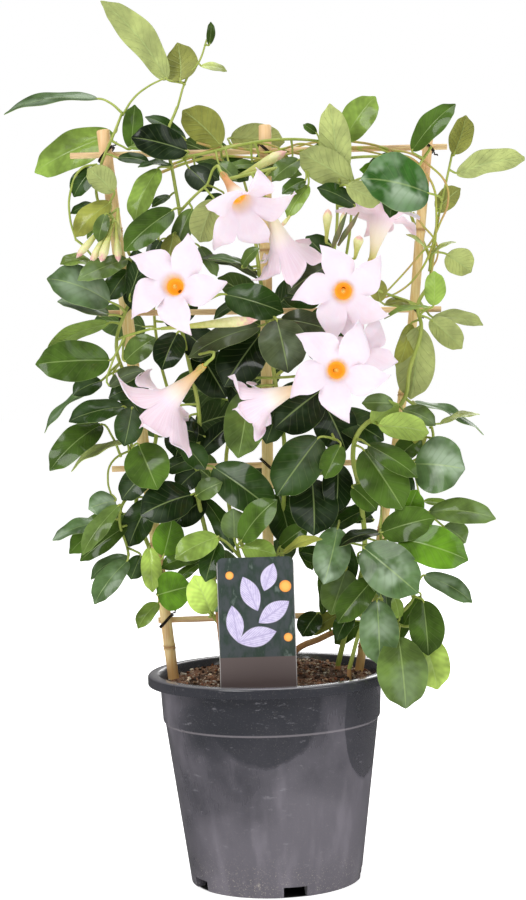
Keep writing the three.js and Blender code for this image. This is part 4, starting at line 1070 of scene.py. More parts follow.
def label_print(label):
    """A leafy panel with a pale sprig and round berries, over a plain band."""
    finish = Finish("printed card", Coat_Weight=0.35, Coat_Roughness=0.2)
    place = finish.place()
    x, _, z = finish.axes(place)

    def spot(shape):
        """Places along and up a shape's own directions, as shares of its half sizes."""
        centre_x, centre_z, half_long, half_high, turn = shape
        dx = finish.minus(x, centre_x * MM)
        dz = finish.minus(z, centre_z * MM)
        cos, sin = math.cos(math.radians(turn)), math.sin(math.radians(turn))
        along = finish.plus(finish.times(dx, cos), finish.times(dz, sin))
        up = finish.minus(finish.times(dz, cos), finish.times(dx, sin))
        return finish.over(along, half_long * MM), finish.over(up, half_high * MM)

    blotch = finish.noise(finish.place((1.6, 1, 0.8)), 95, 4, 0.6)
    colour = finish.mix(finish.step(blotch, 0.36, 0.60), label.field, (0.026, 0.050, 0.034))
    colour = finish.mix(finish.step(blotch, 0.57, 0.70, 0.0, 0.75), colour, (0.15, 0.19, 0.17))
    grain = finish.noise(place, 300, 3)
    for shape in SPRIG:
        along, up = spot(shape)
        rise = finish.math("ABSOLUTE", up)
        inside = finish.step(finish.plus(rise, finish.math("POWER", along, 2)), 0.92, 1.03, 1, 0)
        rays = finish.math("PINGPONG", finish.times(finish.minus(along, rise), 5), 0.5)
        light = finish.step(finish.plus(rays, grain), 0.4, 1.0)
        shade = finish.mix(light, label.shade, label.motif)
        shade = finish.mix(finish.step(rise, 0.03, 0.14, 0.8, 0), shade, label.shade)
        colour = finish.mix(inside, colour, shade)
    for shape in BERRIES:
        along, up = spot(shape)
        ring = finish.squares(along, up)
        shade = finish.mix(finish.step(ring, 0.1, 1.0), (0.95, 0.50, 0.10), label.accent)
        colour = finish.mix(finish.step(ring, 0.90, 1.08, 1, 0), colour, shade)
    band = finish.step(z, (LABEL_BAND + 0.2) * MM, (LABEL_BAND - 0.2) * MM)
    colour = finish.mix(band, colour, label.band)
    edge = finish.away(x, LABEL_CENTRE[0] * MM)
    half = label.width / 2
    rim = finish.step(edge, half - 0.7 * MM, half - 0.4 * MM, 0.0, 0.8)
    colour = finish.mix(rim, colour, (0.45, 0.43, 0.42))
    paper = finish.noise(place, 1800, 2)
    rough = finish.step(paper, 0.3, 0.7, 0.38, 0.48)
    return finish.wear(colour, rough, finish.bump(paper, 0.00005))


def vein_pattern(finish):
    """Masks of the midrib, the side veins and the margin, and the place between two side veins."""
    across, along = finish.uv()[0:2]
    spread = finish.times(finish.away(across, 0.5), 2)
    phase = finish.minus(along, finish.times(spread, 0.30))
    between = finish.math("PINGPONG", finish.times(phase, SIDE_VEINS), 0.5)
    fade = finish.times(finish.step(spread, 0.75, 0.97, 1, 0), finish.step(along, 0.88, 0.98, 1, 0))
    side = finish.times(finish.step(between, 0.02, 0.10, 1, 0), fade)
    midrib = finish.step(spread, 0.04, 0.11, 1, 0)
    margin = finish.step(spread, 0.975, 1.0)
    return midrib, side, margin, between


def leaf_upper(leaf):
    """The leaf's own tone, mottled, with a painted sheen, painted shade along the side veins and
    paler veins.
    """
    finish = Finish("leaf upper side", Specular_IOR_Level=0.08, Coat_Weight=0.36,
                    Coat_Roughness=0.11, Coat_IOR=1.5)
    place = finish.place()
    midrib, side, margin, between = vein_pattern(finish)
    own = finish.attribute("leaf_colour", "Color")
    mottle = finish.step(finish.noise(place, 42, 3, 0.6), 0.3, 0.7, 0.62, 1.45)
    colour = finish.scaled(own, mottle)
    # Painted shade and light: darker in the hollows along the side veins, lighter on the swells
    # between them
    painted_quilt_shade = finish.step(between, 0.0, 0.5, 0.94, 1.05)
    colour = finish.scaled(colour, painted_quilt_shade)
    # A painted sheen: pale soft patches, weaker on the side veins and near the margins, stand for
    # reflections
    painted_sheen_mask = finish.step(finish.noise(place, 36, 3, 0.55), 0.42, 0.62)
    painted_sheen_mask = finish.times(painted_sheen_mask, finish.step(between, 0.04, 0.16, 0.84, 1.0))
    across = finish.away(finish.uv()[0], 0.5)
    painted_sheen_mask = finish.times(painted_sheen_mask, finish.step(across, 0.22, 0.46, 1.0, 0.3))
    painted_sheen_mask = finish.times(painted_sheen_mask, finish.attribute("leaf_painted_sheen"))
    colour = finish.veiled(painted_sheen_mask, 0.8, colour, leaf.painted_sheen)
    colour = finish.veiled(side, 0.05, colour, leaf.vein)
    colour = finish.veiled(midrib, 0.34, colour, leaf.vein)
    colour = finish.veiled(margin, 0.16, colour, leaf.vein)
    wax = finish.noise(place, 260, 3, 0.6)
    rough = finish.step(wax, 0.3, 0.7, 0.34, 0.50)
    quilt = finish.bump(finish.step(between, 0.0, 0.30), 0.0004, strength=0.08)
    return finish.wear(colour, rough, finish.bump(wax, 0.0003, quilt, 0.25))


def leaf_under(leaf):
    """The dull underside, with its veins standing out."""
    finish = Finish("leaf underside", Roughness=0.6, Specular_IOR_Level=0.35)
    place = finish.place()
    midrib, side, _, between = vein_pattern(finish)
    own = finish.attribute("leaf_colour", "Color")
    mottle = finish.step(finish.noise(place, 60, 3, 0.6), 0.3, 0.7, 0.78, 1.2)
    colour = finish.scaled(own, mottle)
    colour = finish.veiled(side, 0.14, colour, leaf.vein)
    colour = finish.veiled(midrib, 0.50, colour, leaf.vein)
    ribs = finish.bump(finish.step(between, 0.0, 0.16, 1, 0), 0.0006, strength=0.6)
    return finish.wear(colour, None, finish.bump(finish.noise(place, 500, 2), 0.0002, ribs, 0.4))


def stem_finish(name, colour, shade, rough):
    """Two tones in patches along a stem."""
    finish = Finish(name, Roughness=rough)
    place = finish.place((1, 1, 0.25))
    patch = finish.noise(place, 120, 4, 0.6)
    colour = finish.mix(finish.step(patch, 0.35, 0.66), colour, shade)
    return finish.wear(colour, None, finish.bump(finish.noise(place, 900, 3), 0.0003))


def bud_finish():
    """Green at the foot, blushed and then pale at the tip."""
    finish = Finish("bud", Roughness=0.5, Subsurface_Weight=0.1, Subsurface_Scale=0.002)
    _, along, _ = finish.uv()
    furrow = finish.noise(finish.place(), 350, 3)
    reach = finish.plus(along, finish.step(furrow, 0.3, 0.7, -0.05, 0.05))
    colour = finish.ramp(reach, (0.0, (0.30, 0.36, 0.06)), (0.40, (0.52, 0.55, 0.13)),
                         (0.70, (0.80, 0.78, 0.40)), (0.84, (0.78, 0.42, 0.40)),
                         (0.97, (0.92, 0.84, 0.70)))
    return finish.wear(colour, None, finish.bump(furrow, 0.0004))


# How far the tube of a bloom is flushed orange-brown, by the bloom's number
TUBE_FLUSH = {1: 0.9, 6: 0.5, 7: 0.35}
# Strength of a painted glow in the throat, which stands in for light that comes through the thin
# wall of the funnel
PAINTED_THROAT_GLOW = 0.45


def petal_streaks(finish, across, along, number):
    """Soft streaks that run along a petal."""
    stretched = finish.node("ShaderNodeCombineXYZ", {0: finish.times(across, number),
                                                     1: finish.times(along, 2)})
    return finish.noise(stretched.outputs[0], 1, 3)


def petal_upper(bloom):
    """A pale petal with a faint blush, and an orange throat with a painted glow."""
    finish = Finish("petal", Roughness=0.55, Sheen_Weight=0.15, Subsurface_Weight=0.12,
                    Subsurface_Scale=0.003, Emission_Strength=PAINTED_THROAT_GLOW)
    across, along, _ = finish.uv()
    place = finish.place()
    soft = finish.noise(place, 60, 3)
    streak = petal_streaks(finish, across, along, 26)
    blush = finish.times(finish.step(soft, 0.42, 0.72), finish.step(streak, 0.3, 0.7, 0.25, 0.8))
    colour = finish.veiled(blush, 0.40, bloom.petal, bloom.blush)
    wavy = finish.plus(along, finish.step(streak, 0.3, 0.7, -0.012, 0.012))
    colour = finish.mix(finish.step(wavy, 0.37, 0.50, 0.85, 0), colour, (0.88, 0.78, 0.58))
    colour = finish.mix(finish.step(wavy, 0.345, 0.385, 1, 0), colour, bloom.throat_rim)
    colour = finish.mix(finish.step(wavy, 0.24, 0.345, 1, 0), colour, bloom.throat)
    # Painted light: the throat up to its rim glows in place of light through the funnel's wall
    glow = finish.mix(finish.step(wavy, 0.33, 0.385, 1, 0), (0, 0, 0), bloom.throat_rim)
    folds = finish.bump(streak, 0.0005, strength=0.35)
    folds = finish.bump(finish.noise(place, 700, 2), 0.0001, folds, 0.3)
    return finish.wear(colour, None, folds, glow)


def petal_back(bloom):
    """The backs of petals and the outside of the tube down to its foot."""
    finish = Finish("petal back", Roughness=0.6, Sheen_Weight=0.1, Subsurface_Weight=0.12,
                    Subsurface_Scale=0.003)
    across, along, _ = finish.uv()
    streak = petal_streaks(finish, across, along, 22)
    blush = finish.times(finish.step(streak, 0.40, 0.72), finish.step(along, 0.45, 1.0, 0.9, 0.25))
    colour = finish.veiled(blush, 0.62, bloom.back, bloom.blush)
    colour = finish.mix(finish.step(along, 0.34, 0.52, 0.8, 0), colour, (0.93, 0.82, 0.72))
    colour = finish.mix(finish.step(along, 0.18, 0.42, 1, 0), colour, bloom.tube)
    colour = finish.mix(finish.step(along, 0.05, 0.24, 1, 0), colour, bloom.tube_foot)
    flush = finish.times(finish.attribute("tube_flush"), finish.step(along, 0.20, 0.42, 1, 0))
    colour = finish.mix(flush, colour, bloom.flush)
    return finish.wear(colour, None, finish.bump(streak, 0.0006, strength=0.5))


# ---------------------------------------------------------------- pot and soil


# (radius, height) round the pot's wall, and the number of its faces round the axis
POT_OUTLINE = [(0, 0), (12, 0), (15, 5.2), (57, 5.2), (59, 0), (66, 0), (82.5, 124), (84.1, 126),
               (85.7, 154), (95, 154), (95, 160.5), (93.5, 162), (87, 162), (83.9, 156),
               (82.3, 124), (65.1, 7), (0, 7)]
POT_TURNS = 120
# Heights of the band's lower edge, where a painted highlight runs, and of where the rim's bare dark
# plastic and the painted highlight on its top edge set in
POT_FOLD = 124.6
POT_RIM = (152.5, 154.5)
POT_LIP_HIGHLIGHT = (160.6, 161.8)
# Slots cut through the foot ring
DRAINS = 5
DRAIN_TURN = -78
DRAIN_REACH = 65
DRAIN_SIZE = (26, 18, 20)
DRAIN_TOP = 8
# Radius and height of the compost's edge and of its hidden foot, and the rise of its middle
SOIL_EDGE = (82, 156)
SOIL_FOOT = (80, 120)
SOIL_MOUND = 13
SOIL_RINGS = 56
SOIL_TURNS = 150
# Level of the noise, its fineness and its height in mm, for swells, clods and grit
SOIL_LUMPS = ((3, 0.05, 2.4), (9, 0.16, 1.8), (5, 0.42, 1.2), (1, 0.95, 0.7))
CRUMB_REACH = 79


def turned(name, outline, turns):
    """A closed body turned from an outline of (radius, height) in mm."""
    mesh = bpy.data.meshes.new(name)
    edges = [(i, i + 1) for i in range(len(outline) - 1)]
    mesh.from_pydata([(r * MM, 0, z * MM) for r, z in outline], edges, [])
    piece = placed(name, mesh)
    circle = {"steps": turns, "angle": 2 * math.pi, "center": (0, 0, 0), "axis": (0, 0, 1)}
    edit(piece,
         (bpy.ops.mesh.spin, circle),
         (bpy.ops.mesh.select_all, {"action": "SELECT"}),
         (bpy.ops.mesh.remove_doubles, {"threshold": DOUBLED}),
         (bpy.ops.mesh.normals_make_consistent, {"inside": False}))
    return piece


class MANDEVILLA_OT_pot(bpy.types.Operator):
    """Make the round pot with its band, rim and drain slots"""

    bl_idname = "mandevilla.pot"
    bl_label = "Pot"

    def execute(self, context):
        settings = context.scene.mandevilla_pot
        piece = turned("nursery_pot", POT_OUTLINE, POT_TURNS)
        bevel = piece.modifiers.new("edge", "BEVEL")
        bevel.width = settings.edge
        bevel.segments = 3
        bevel.limit_method = "ANGLE"
        bevel.angle_limit = math.radians(28)
        apply_modifiers(piece)
        cutter = self.drains(context)
        slots = piece.modifiers.new("drains", "BOOLEAN")
        slots.operation = "DIFFERENCE"
        slots.solver = "EXACT"
        slots.object = cutter
        apply_modifiers(piece)
        bpy.data.objects.remove(cutter)
        smooth_faces(piece, 32)
        piece.data.materials.append(pot_plastic(settings))
        hand_over(piece, "nursery_pot", "pot", "pot")
        return {"FINISHED"}

    def drains(self, context):
        """Blocks that cut the drain slots."""
        cutters = []
        for i in range(DRAINS):
            turn = math.radians(DRAIN_TURN + 360 * i / DRAINS)
            reach = DRAIN_REACH * MM
            height = (DRAIN_TOP - DRAIN_SIZE[2] / 2) * MM
            centre = (reach * math.cos(turn), reach * math.sin(turn), height)
            deselect()
            bpy.ops.mesh.primitive_cube_add(size=1, location=centre, rotation=(0, 0, turn),
                                            scale=[side * MM for side in DRAIN_SIZE])
            cutters.append(context.object)
        return join(cutters)


def soil_height(x, y):
    """Height of the compost in mm over a place in mm."""
    share = math.hypot(x, y) / SOIL_EDGE[0]
    height = SOIL_EDGE[1] - 2.5 + SOIL_MOUND * (1 - share * share)
    for level, fineness, rise in SOIL_LUMPS:
        height += noise.noise(Vector((x, y, level)) * fineness) * rise
    return height


class MANDEVILLA_OT_soil(bpy.types.Operator):
    """Make the crumbly compost and the crumbs that lie on it"""

    bl_idname = "mandevilla.soil"
    bl_label = "Soil"

    def execute(self, context):
        settings = context.scene.mandevilla_soil
        edge, top = SOIL_EDGE
        outline = [(0, SOIL_FOOT[1]), SOIL_FOOT, (edge, top - 8)]
        outline += [(edge * (1 - i / SOIL_RINGS), top) for i in range(SOIL_RINGS + 1)]
        soil = turned("compost", outline, SOIL_TURNS)
        points = points_of(soil) / MM
        upper = points[:, 2] > top - 1
        points[upper, 2] = [soil_height(x, y) for x, y, _ in points[upper]]
        set_points(soil, points * MM)
        smooth_faces(soil)
        soil.data.materials.append(soil_crumb(settings))
        hand_over(soil, "compost", "soil", "soil")
        self.crumbs(settings)
        return {"FINISHED"}

    def crumbs(self, settings):
        """Crumbs, clods and straw chips strewn over the compost."""
        deselect()
        bpy.ops.mesh.primitive_ico_sphere_add(subdivisions=1, radius=1)
        crumb = bpy.context.object
        crumb.data.materials.append(crumb_finish())
        draw = np.random.default_rng(11)
        shape = points_of(crumb)
        tones = np.array([tuple(settings.peat), tuple(settings.dry_peat), tuple(settings.chip),
                          (0.20, 0.08, 0.04), (0.40, 0.26, 0.16), (0.74, 0.69, 0.60)])
        shares = (0.16, 0.26, 0.17, 0.17, 0.12, 0.12)
        pieces = []
        for _ in range(settings.crumbs):
            reach = CRUMB_REACH * math.sqrt(draw.random())
            turn = draw.random() * 2 * math.pi
            x, y = reach * math.cos(turn), reach * math.sin(turn)
            radius = settings.crumb / MM * (0.35 + 0.9 * draw.random() ** 2)
            long = 1.0 + 2.6 * max(0.0, draw.random() - 0.6)
            lumps = 0.8 + 0.4 * draw.random((len(shape), 1))
            stretch = np.array([long, 0.75, 0.6]) * radius * lumps
            spin = Matrix.Rotation(draw.random() * 6.28, 3, "Z")
            tilt = spin @ Matrix.Rotation(draw.normal() * 0.4, 3, "Y")
            spot = np.array([x, y, soil_height(x, y) + 0.25 * radius])
            twin = copy_of(crumb)
            set_points(twin, ((shape * stretch) @ np.array(tilt).T + spot) * MM)
            tone = tones[draw.choice(len(tones), p=shares)] * (0.7 + 0.6 * draw.random())
            give_attribute(twin, "crumb_colour", np.tile([*tone, 1], (len(shape), 1)))
            pieces.append(twin)
        bpy.data.objects.remove(crumb)
        hand_over(join(pieces), "crumbs", "soil")


# ---------------------------------------------------------------- rack


class MANDEVILLA_OT_canes(bpy.types.Operator):
    """Make the three bamboo canes"""

    bl_idname = "mandevilla.canes"
    bl_label = "Bamboo canes"

    def execute(self, context):
        settings = context.scene.mandevilla_rack
        material = bamboo_finish(settings)
        rise = settings.joint_rise / MM
        for cane, axis in CANES.items():
            heights = {z: 0.0 for _, z in axis}
            for z in CANE_JOINTS[cane]:
                heights.update({z + away: share * rise for away, share in JOINT_SWELLING})
            top = axis[-1][1]
            heights.update({top - 0.8: 0.0, top: -0.7})
            route = sorted(heights)
            points = [(cane_x(cane, z), 0, z) for z in route]
            radii = [cane_radius(cane, z) + heights[z] for z in route]
            piece = rods(f"cane_{cane}", [(points, radii, 0)], [material], roundness=10, steps=3)
            z = points_of(piece)[:, 2] / MM
            near = np.min([np.abs(z - joint) for joint in CANE_JOINTS[cane]], axis=0)
            give_attribute(piece, "joint", np.exp(-(near / 1.6) ** 2) * 0.85)
            hand_over(piece, f"cane_{cane}", "bamboo", f"bamboo_{cane}")
        return {"FINISHED"}


class MANDEVILLA_OT_cross_bars(bpy.types.Operator):
    """Make the four thin cross bars behind the canes"""

    bl_idname = "mandevilla.cross_bars"
    bl_label = "Cross bars"

    def execute(self, context):
        material = bar_finish(context.scene.mandevilla_rack)
        for i, ((x0, z0), (x1, z1)) in enumerate(BARS):
            shares = np.linspace(0, 1, 13)
            points = [(x0 + (x1 - x0) * s, BAR_Y, z0 + (z1 - z0) * s) for s in shares]
            radii = [BAR_R * (0.97 + 0.03 * math.sin(40 * s + i)) for s in shares]
            piece = rods(f"bar_{i + 1}", [(points, radii, 0)], [material], roundness=5, steps=3)
            hand_over(piece, f"bar_{i + 1}", "cross_bar", f"cross_bar_{i + 1}")
        return {"FINISHED"}


class MANDEVILLA_OT_wire_ties(bpy.types.Operator):
    """Bind each crossing of a cane and a bar with a twisted wire"""

    bl_idname = "mandevilla.wire_ties"
    bl_label = "Wire ties"

    def execute(self, context):
        material = wire_finish(context.scene.mandevilla_rack)
        for i, ((x0, z0), (x1, z1)) in enumerate(BARS):
            for cane in CANES:
                z = z0 + (z1 - z0) * (cane_x(cane, z0) - x0) / (x1 - x0)
                piece = self.tie(cane, z, material)
                hand_over(piece, f"tie_{i + 1}_{cane}", "wire", f"wire_tie_{i + 1}_{cane}")
        return {"FINISHED"}

    def tie(self, cane, z, material):
        """One wire that binds a cane and a bar slantwise at a height."""
        radius = cane_radius(cane, z)
        lean = (cane_x(cane, z + 5) - cane_x(cane, z - 5)) / 10
        centre = np.array([cane_x(cane, z), (BAR_Y + BAR_R - radius) / 2, z])
        slant = unit(np.array([1, 0, -1 if lean > 0 else 1]))
        depth = np.array([0, 1, 0])
        cross = np.cross(slant, depth)
        half_depth = (BAR_Y + BAR_R + radius) / 2 + TIE_CLEAR - TIE_WIRE_R
        half_width = radius * math.sqrt(2) / (1 + abs(lean)) + TIE_CLEAR
        turns = np.linspace(0, TIE_TURNS * 2 * math.pi, 25)
        loop = [centre + slant * half_width * math.cos(a) + depth * half_depth * math.sin(a)
                + cross * (a / turns[-1] - 0.5) * TIE_SPREAD for a in turns]
        tail = centre + slant * half_width
        twist = []
        for k in range(TIE_TAIL_KNOTS):
            angle = k * 1.5
            twist.append(tail + slant * (0.6 + 0.75 * k) + cross * 0.6 * math.cos(angle)
                         + depth * (0.6 * math.sin(angle) - 0.3 * k))
        strands = [(route, [TIE_WIRE_R] * len(route), 0) for route in (loop, twist)]
        return rods("tie", strands, [material], roundness=1, steps=3)


# ---------------------------------------------------------------- plant label


# (x, y) of the card's middle, and the heights of its top, shoulders and tip and of the band's top
LABEL_CENTRE = (-8.8, -70)
LABEL_TOP = 256
LABEL_SHOULDER = 150
LABEL_TIP = 92
LABEL_BAND = 182
LABEL_BEVEL = 0.12


class MANDEVILLA_OT_label(bpy.types.Operator):
    """Make the card label that is stuck into the compost"""

    bl_idname = "mandevilla.label"
    bl_label = "Plant label"

    def execute(self, context):
        settings = context.scene.mandevilla_label
        half = settings.width / MM / 2
        corner = settings.corner / MM
        outline = [(0, LABEL_TIP), (half, LABEL_SHOULDER)]
        for centre, start in ((half - corner, 0), (corner - half, 90)):
            for k in range(9):
                angle = math.radians(start + 90 * k / 8)
                outline.append((centre + corner * math.cos(angle),
                                LABEL_TOP - corner + corner * math.sin(angle)))
        outline.append((-half, LABEL_SHOULDER))
        curve = bpy.data.curves.new("label", "CURVE")
        curve.dimensions = "2D"
        curve.fill_mode = "BOTH"
        curve.bevel_depth = LABEL_BEVEL * MM
        curve.bevel_resolution = 1
        curve.offset = -LABEL_BEVEL * MM
        curve.extrude = settings.thickness / 2 - curve.bevel_depth
        spline = curve.splines.new("POLY")
        spline.points.add(len(outline) - 1)
        spline.use_cyclic_u = True
        for knot, (x, z) in zip(spline.points, outline):
            knot.co = ((x + LABEL_CENTRE[0]) * MM, z * MM, 0, 1)
        piece = to_mesh(placed("label", curve))
        x, y, z = points_of(piece).T
        set_points(piece, np.column_stack([x, LABEL_CENTRE[1] * MM - z, y]))
        smooth_faces(piece, 30)
        piece.data.materials.append(label_print(settings))
        hand_over(piece, "label_card", "label", "plant_label")
        return {"FINISHED"}


# ---------------------------------------------------------------- vines


def leaf_frame(base, tip, tilt):
    """Directions along a leaf, out of its upper side and across it; tilt 0 faces the front."""
    along = unit(tip - base)
    front = unit(np.array([0.0, -1.0, 0.0]) + along * along[1])
    rise = np.cross(along, front)
    if rise[0] * 0.35 + rise[2] < 0:
        rise = -rise
    angle = math.radians(tilt)
    normal = front * math.cos(angle) + rise * math.sin(angle)
    return along, normal, np.cross(along, normal)


def ends(row):
    """Base and tip of a leaf or bud."""
    return np.array(row[0:3], float), np.array(row[3:6], float)


def nearest_on(lines, target):
    """The point of any of the lines that lies nearest to the target."""
    best, shortest = None, math.inf
    for line in lines:
        for start, end in zip(line, line[1:]):
            way = end - start
            share = min(max(np.dot(target - start, way) / np.dot(way, way), 0), 1)
            point = start + way * share
            gap = np.linalg.norm(point - target)
            if gap < shortest:
                best, shortest = point, gap
    return best


def blade_spread(share):
    """Share of a leaf's half width at shares of its length: an oval with a small drawn-out tip."""
    body = (4 * share * (1 - share)) ** 0.55
    return body * (1 - 0.45 * ease(0.86, 0.98, share))


def flat_blade(columns, rows, materials):
    """A leaf blade before it is shaped: x runs across, y along, and z is 0 above and -1 below."""
    deselect()
    bpy.ops.mesh.primitive_grid_add(x_subdivisions=columns, y_subdivisions=rows, size=2)
    blade = bpy.context.object
    for material in materials:
        blade.data.materials.append(material)
    body = blade.modifiers.new("body", "SOLIDIFY")
    body.thickness = 1
    body.offset = -1
    body.material_offset = 1
    apply_modifiers(blade)
    smooth_faces(blade, 60)
    return blade


def shaped_leaf(blank, leaf, settings):
    """A copy of the flat blade, bent and arched to one leaf's place."""
    base, tip = ends(leaf)
    width, tilt = leaf[6:8]
    reach = np.linalg.norm(tip - base)
    _, normal, side = leaf_frame(base, tip, tilt)
    # Each leaf arches, folds along its midrib and ripples a little differently
    arch = reach * (0.05 + 0.06 * own_chance(leaf, 1))
    fold = 0.1 + 0.12 * own_chance(leaf, 2)
    ripple = reach * (0.012 + 0.022 * own_chance(leaf, 3))
    start = 2 * math.pi * own_chance(leaf, 4)
    x, y, z = points_of(blank).T
    share = (y + 1) / 2
    across = np.sign(x) * np.abs(x) ** 1.5
    lobe = 1 + 0.05 * np.sign(x) * (own_chance(leaf, 5) - 0.5)
    half = np.maximum(width / 2 * blade_spread(np.clip(share, 0, 1)) * lobe, 0.4)
    # Hollows along the side veins, which run slantwise to the margin
    phase = SIDE_VEINS * (share - 0.30 * np.abs(x))
    quilt = -np.cos(2 * math.pi * phase) * np.abs(x) * (1 - np.abs(x)) * 4 * settings.quilting / MM
    quilt = quilt * ease(0.0, 0.12, share) * ease(1.0, 0.86, share) * min(1.0, width / 24)
    lift = arch * np.sin(math.pi * share) - 0.03 * reach * ease(0.72, 1.0, share) ** 2
    lift = lift + np.abs(across) * half * fold * (1 - 0.5 * np.abs(across))
    wave = np.sin(2 * math.pi * 1.7 * share + start + 1.9 * (x > 0))
    lift = lift + ripple * wave * np.abs(across) ** 1.5 * np.sin(math.pi * share)
    # The midrib is a groove above and a rib below
    groove = np.exp(-(across * half / 0.8) ** 2) * (1 - 0.7 * share)
    under = z < -0.5
    lift = lift + quilt - np.where(under, groove * settings.rib / MM, groove * 0.35)
    lift = lift + z * settings.thickness / MM
    points = (base + np.outer(share, tip - base) + np.outer(across * half, side)
              + np.outer(lift, normal))
    twin = copy_of(blank)
    set_points(twin, within(points) * MM)
    tone = np.array(getattr(settings, leaf[8])) * (0.86 + 0.28 * own_chance(leaf, 6))
    above, below = tone, tone + (np.array(settings.underside) - tone) * UNDERSIDE_LEAN
    if tilt > 90:  # the underside faces the front and has the tone
        above, below = tone * 0.5, tone
    give_attribute(twin, "leaf_colour", np.where(under[:, None], [*below, 1], [*above, 1]))
    # Each leaf carries how much painted sheen its tone gets
    give_attribute(twin, "leaf_painted_sheen", np.full(len(points), PAINTED_SHEEN.get(leaf[8], 0.0)))
    return twin


def leaf_stalk(root, leaf):
    """A short stalk that leaves the stem at root and meets the blade along its midrib."""
    base, tip = ends(leaf)
    along, normal, _ = leaf_frame(base, tip, leaf[7])
    gap = np.linalg.norm(base - root)
    bend = root + (base - root) * 0.55 + (normal - along) * 0.06 * gap
    inside = base + along * 3 - normal * 0.6
    thick = LEAF_STALK_R * (0.75 + 0.25 * min(1, leaf[6] / 24))
    return [root, bend, base - normal * 0.2, inside], thick * np.array([1.25, 1, 0.95, 0.5]), 0


# (share from base to tip, radius as a share of the bud's)
BUD_PROFILE = [(0, 0.28), (0.08, 0.34), (0.32, 0.46), (0.58, 0.80), (0.80, 1.0), (0.92, 0.62),
               (1, 0.0)]


def pointed_bud(blank, bud):
    """A bud shaped from a ball: a slim stalk end, a twisted body and a pointed tip."""
    base, tip = ends(bud)
    along = unit(tip - base)
    side = unit(np.array([0.0, -1.0, 0.0]) + along * along[1])
    up = np.cross(along, side)
    x, y, z = points_of(blank).T
    share = (z + 1) / 2
    ring = np.hypot(x, y)
    turn = np.arctan2(y, x)
    profile = np.interp(share, *zip(*BUD_PROFILE))
    profile = profile * (1 + 0.07 * np.cos(5 * turn)) * (ring > 1e-4) * bud[6]
    turn = turn + 1.6 * share
    points = (base + np.outer(share, tip - base) + np.outer(profile * np.cos(turn), side)
              + np.outer(profile * np.sin(turn), up))
    twin = copy_of(blank)
    set_points(twin, points * MM)
    return twin


def paired_leaves(lines, rule):
    """Opposite leaves along each stem, by a spacing rule."""
    draw = chances(rule["first_draw"])
    leaves = []
    for line in lines:
        travelled = rule["every"] / 2
        for before, point in zip(line, line[1:]):
            travelled += np.linalg.norm(point - before)
            if travelled < rule["every"] or point[2] < rule["from"]:
                continue
            travelled -= rule["every"]
            for hand in (-1, 1):
                angle = 0.2 + 0.7 * next(draw)
                reach = rule["length"] * (0.8 + 0.3 * next(draw))
                lean = rule["lean"] * (0.6 + 0.8 * next(draw))
                way = unit(np.array([hand * math.cos(angle), lean, math.sin(angle) * 0.8]))
                base = point + way * 9
                width = rule["width"] * (0.85 + 0.3 * next(draw))
                tone = "dark" if hand > 0 else "mid"
                leaves.append((*base, *(base + way * reach), width, BACK_TILT, tone))
    return leaves


def bloom_frame(bloom):
    """Throat, facing, and the two directions across a bloom."""
    throat, facing = np.array(bloom[1:4], float), unit(np.array(bloom[4:7], float))
    side = unit(np.cross([0, 0, 1], facing))
    return throat, facing, side, np.cross(facing, side)


def flower_stalk(bloom, lines):
    """A stalk from the nearest stem to the foot of a bloom's tube."""
    throat, facing, _, _ = bloom_frame(bloom)
    end = throat - facing * (BLOOM_TUBE + 0.3)
    knee = end - facing * 10
    route = [nearest_on(lines, knee), knee, end - facing * 4, end]
    return route, [1.0, 1.1, 1.3, FLOWER_STALK_R], 0


class MANDEVILLA_OT_young_shoots(bpy.types.Operator):
    """Make the thin shoots along the top bar and round the right cane, and two slim pods"""

    bl_idname = "mandevilla.young_shoots"
    bl_label = "Young shoots"

    def execute(self, context):
        settings = context.scene.mandevilla_leaf
        fresh = stem_finish("young shoot", (0.40, 0.46, 0.07), settings.shoot, 0.45)
        pod = stem_finish("pod", (0.10, 0.13, 0.04), (0.24, 0.17, 0.08), 0.5)
        strands = []
        for route, radius in YOUNG_SHOOTS:
            strands.append((route, np.linspace(radius, radius * 0.7, len(route)), 0))
        strands += [(route, radii, 1) for route, radii in PODS]
        hand_over(rods("young_shoots", strands, [fresh, pod], steps=6), "young_shoots", "leaf")
        return {"FINISHED"}


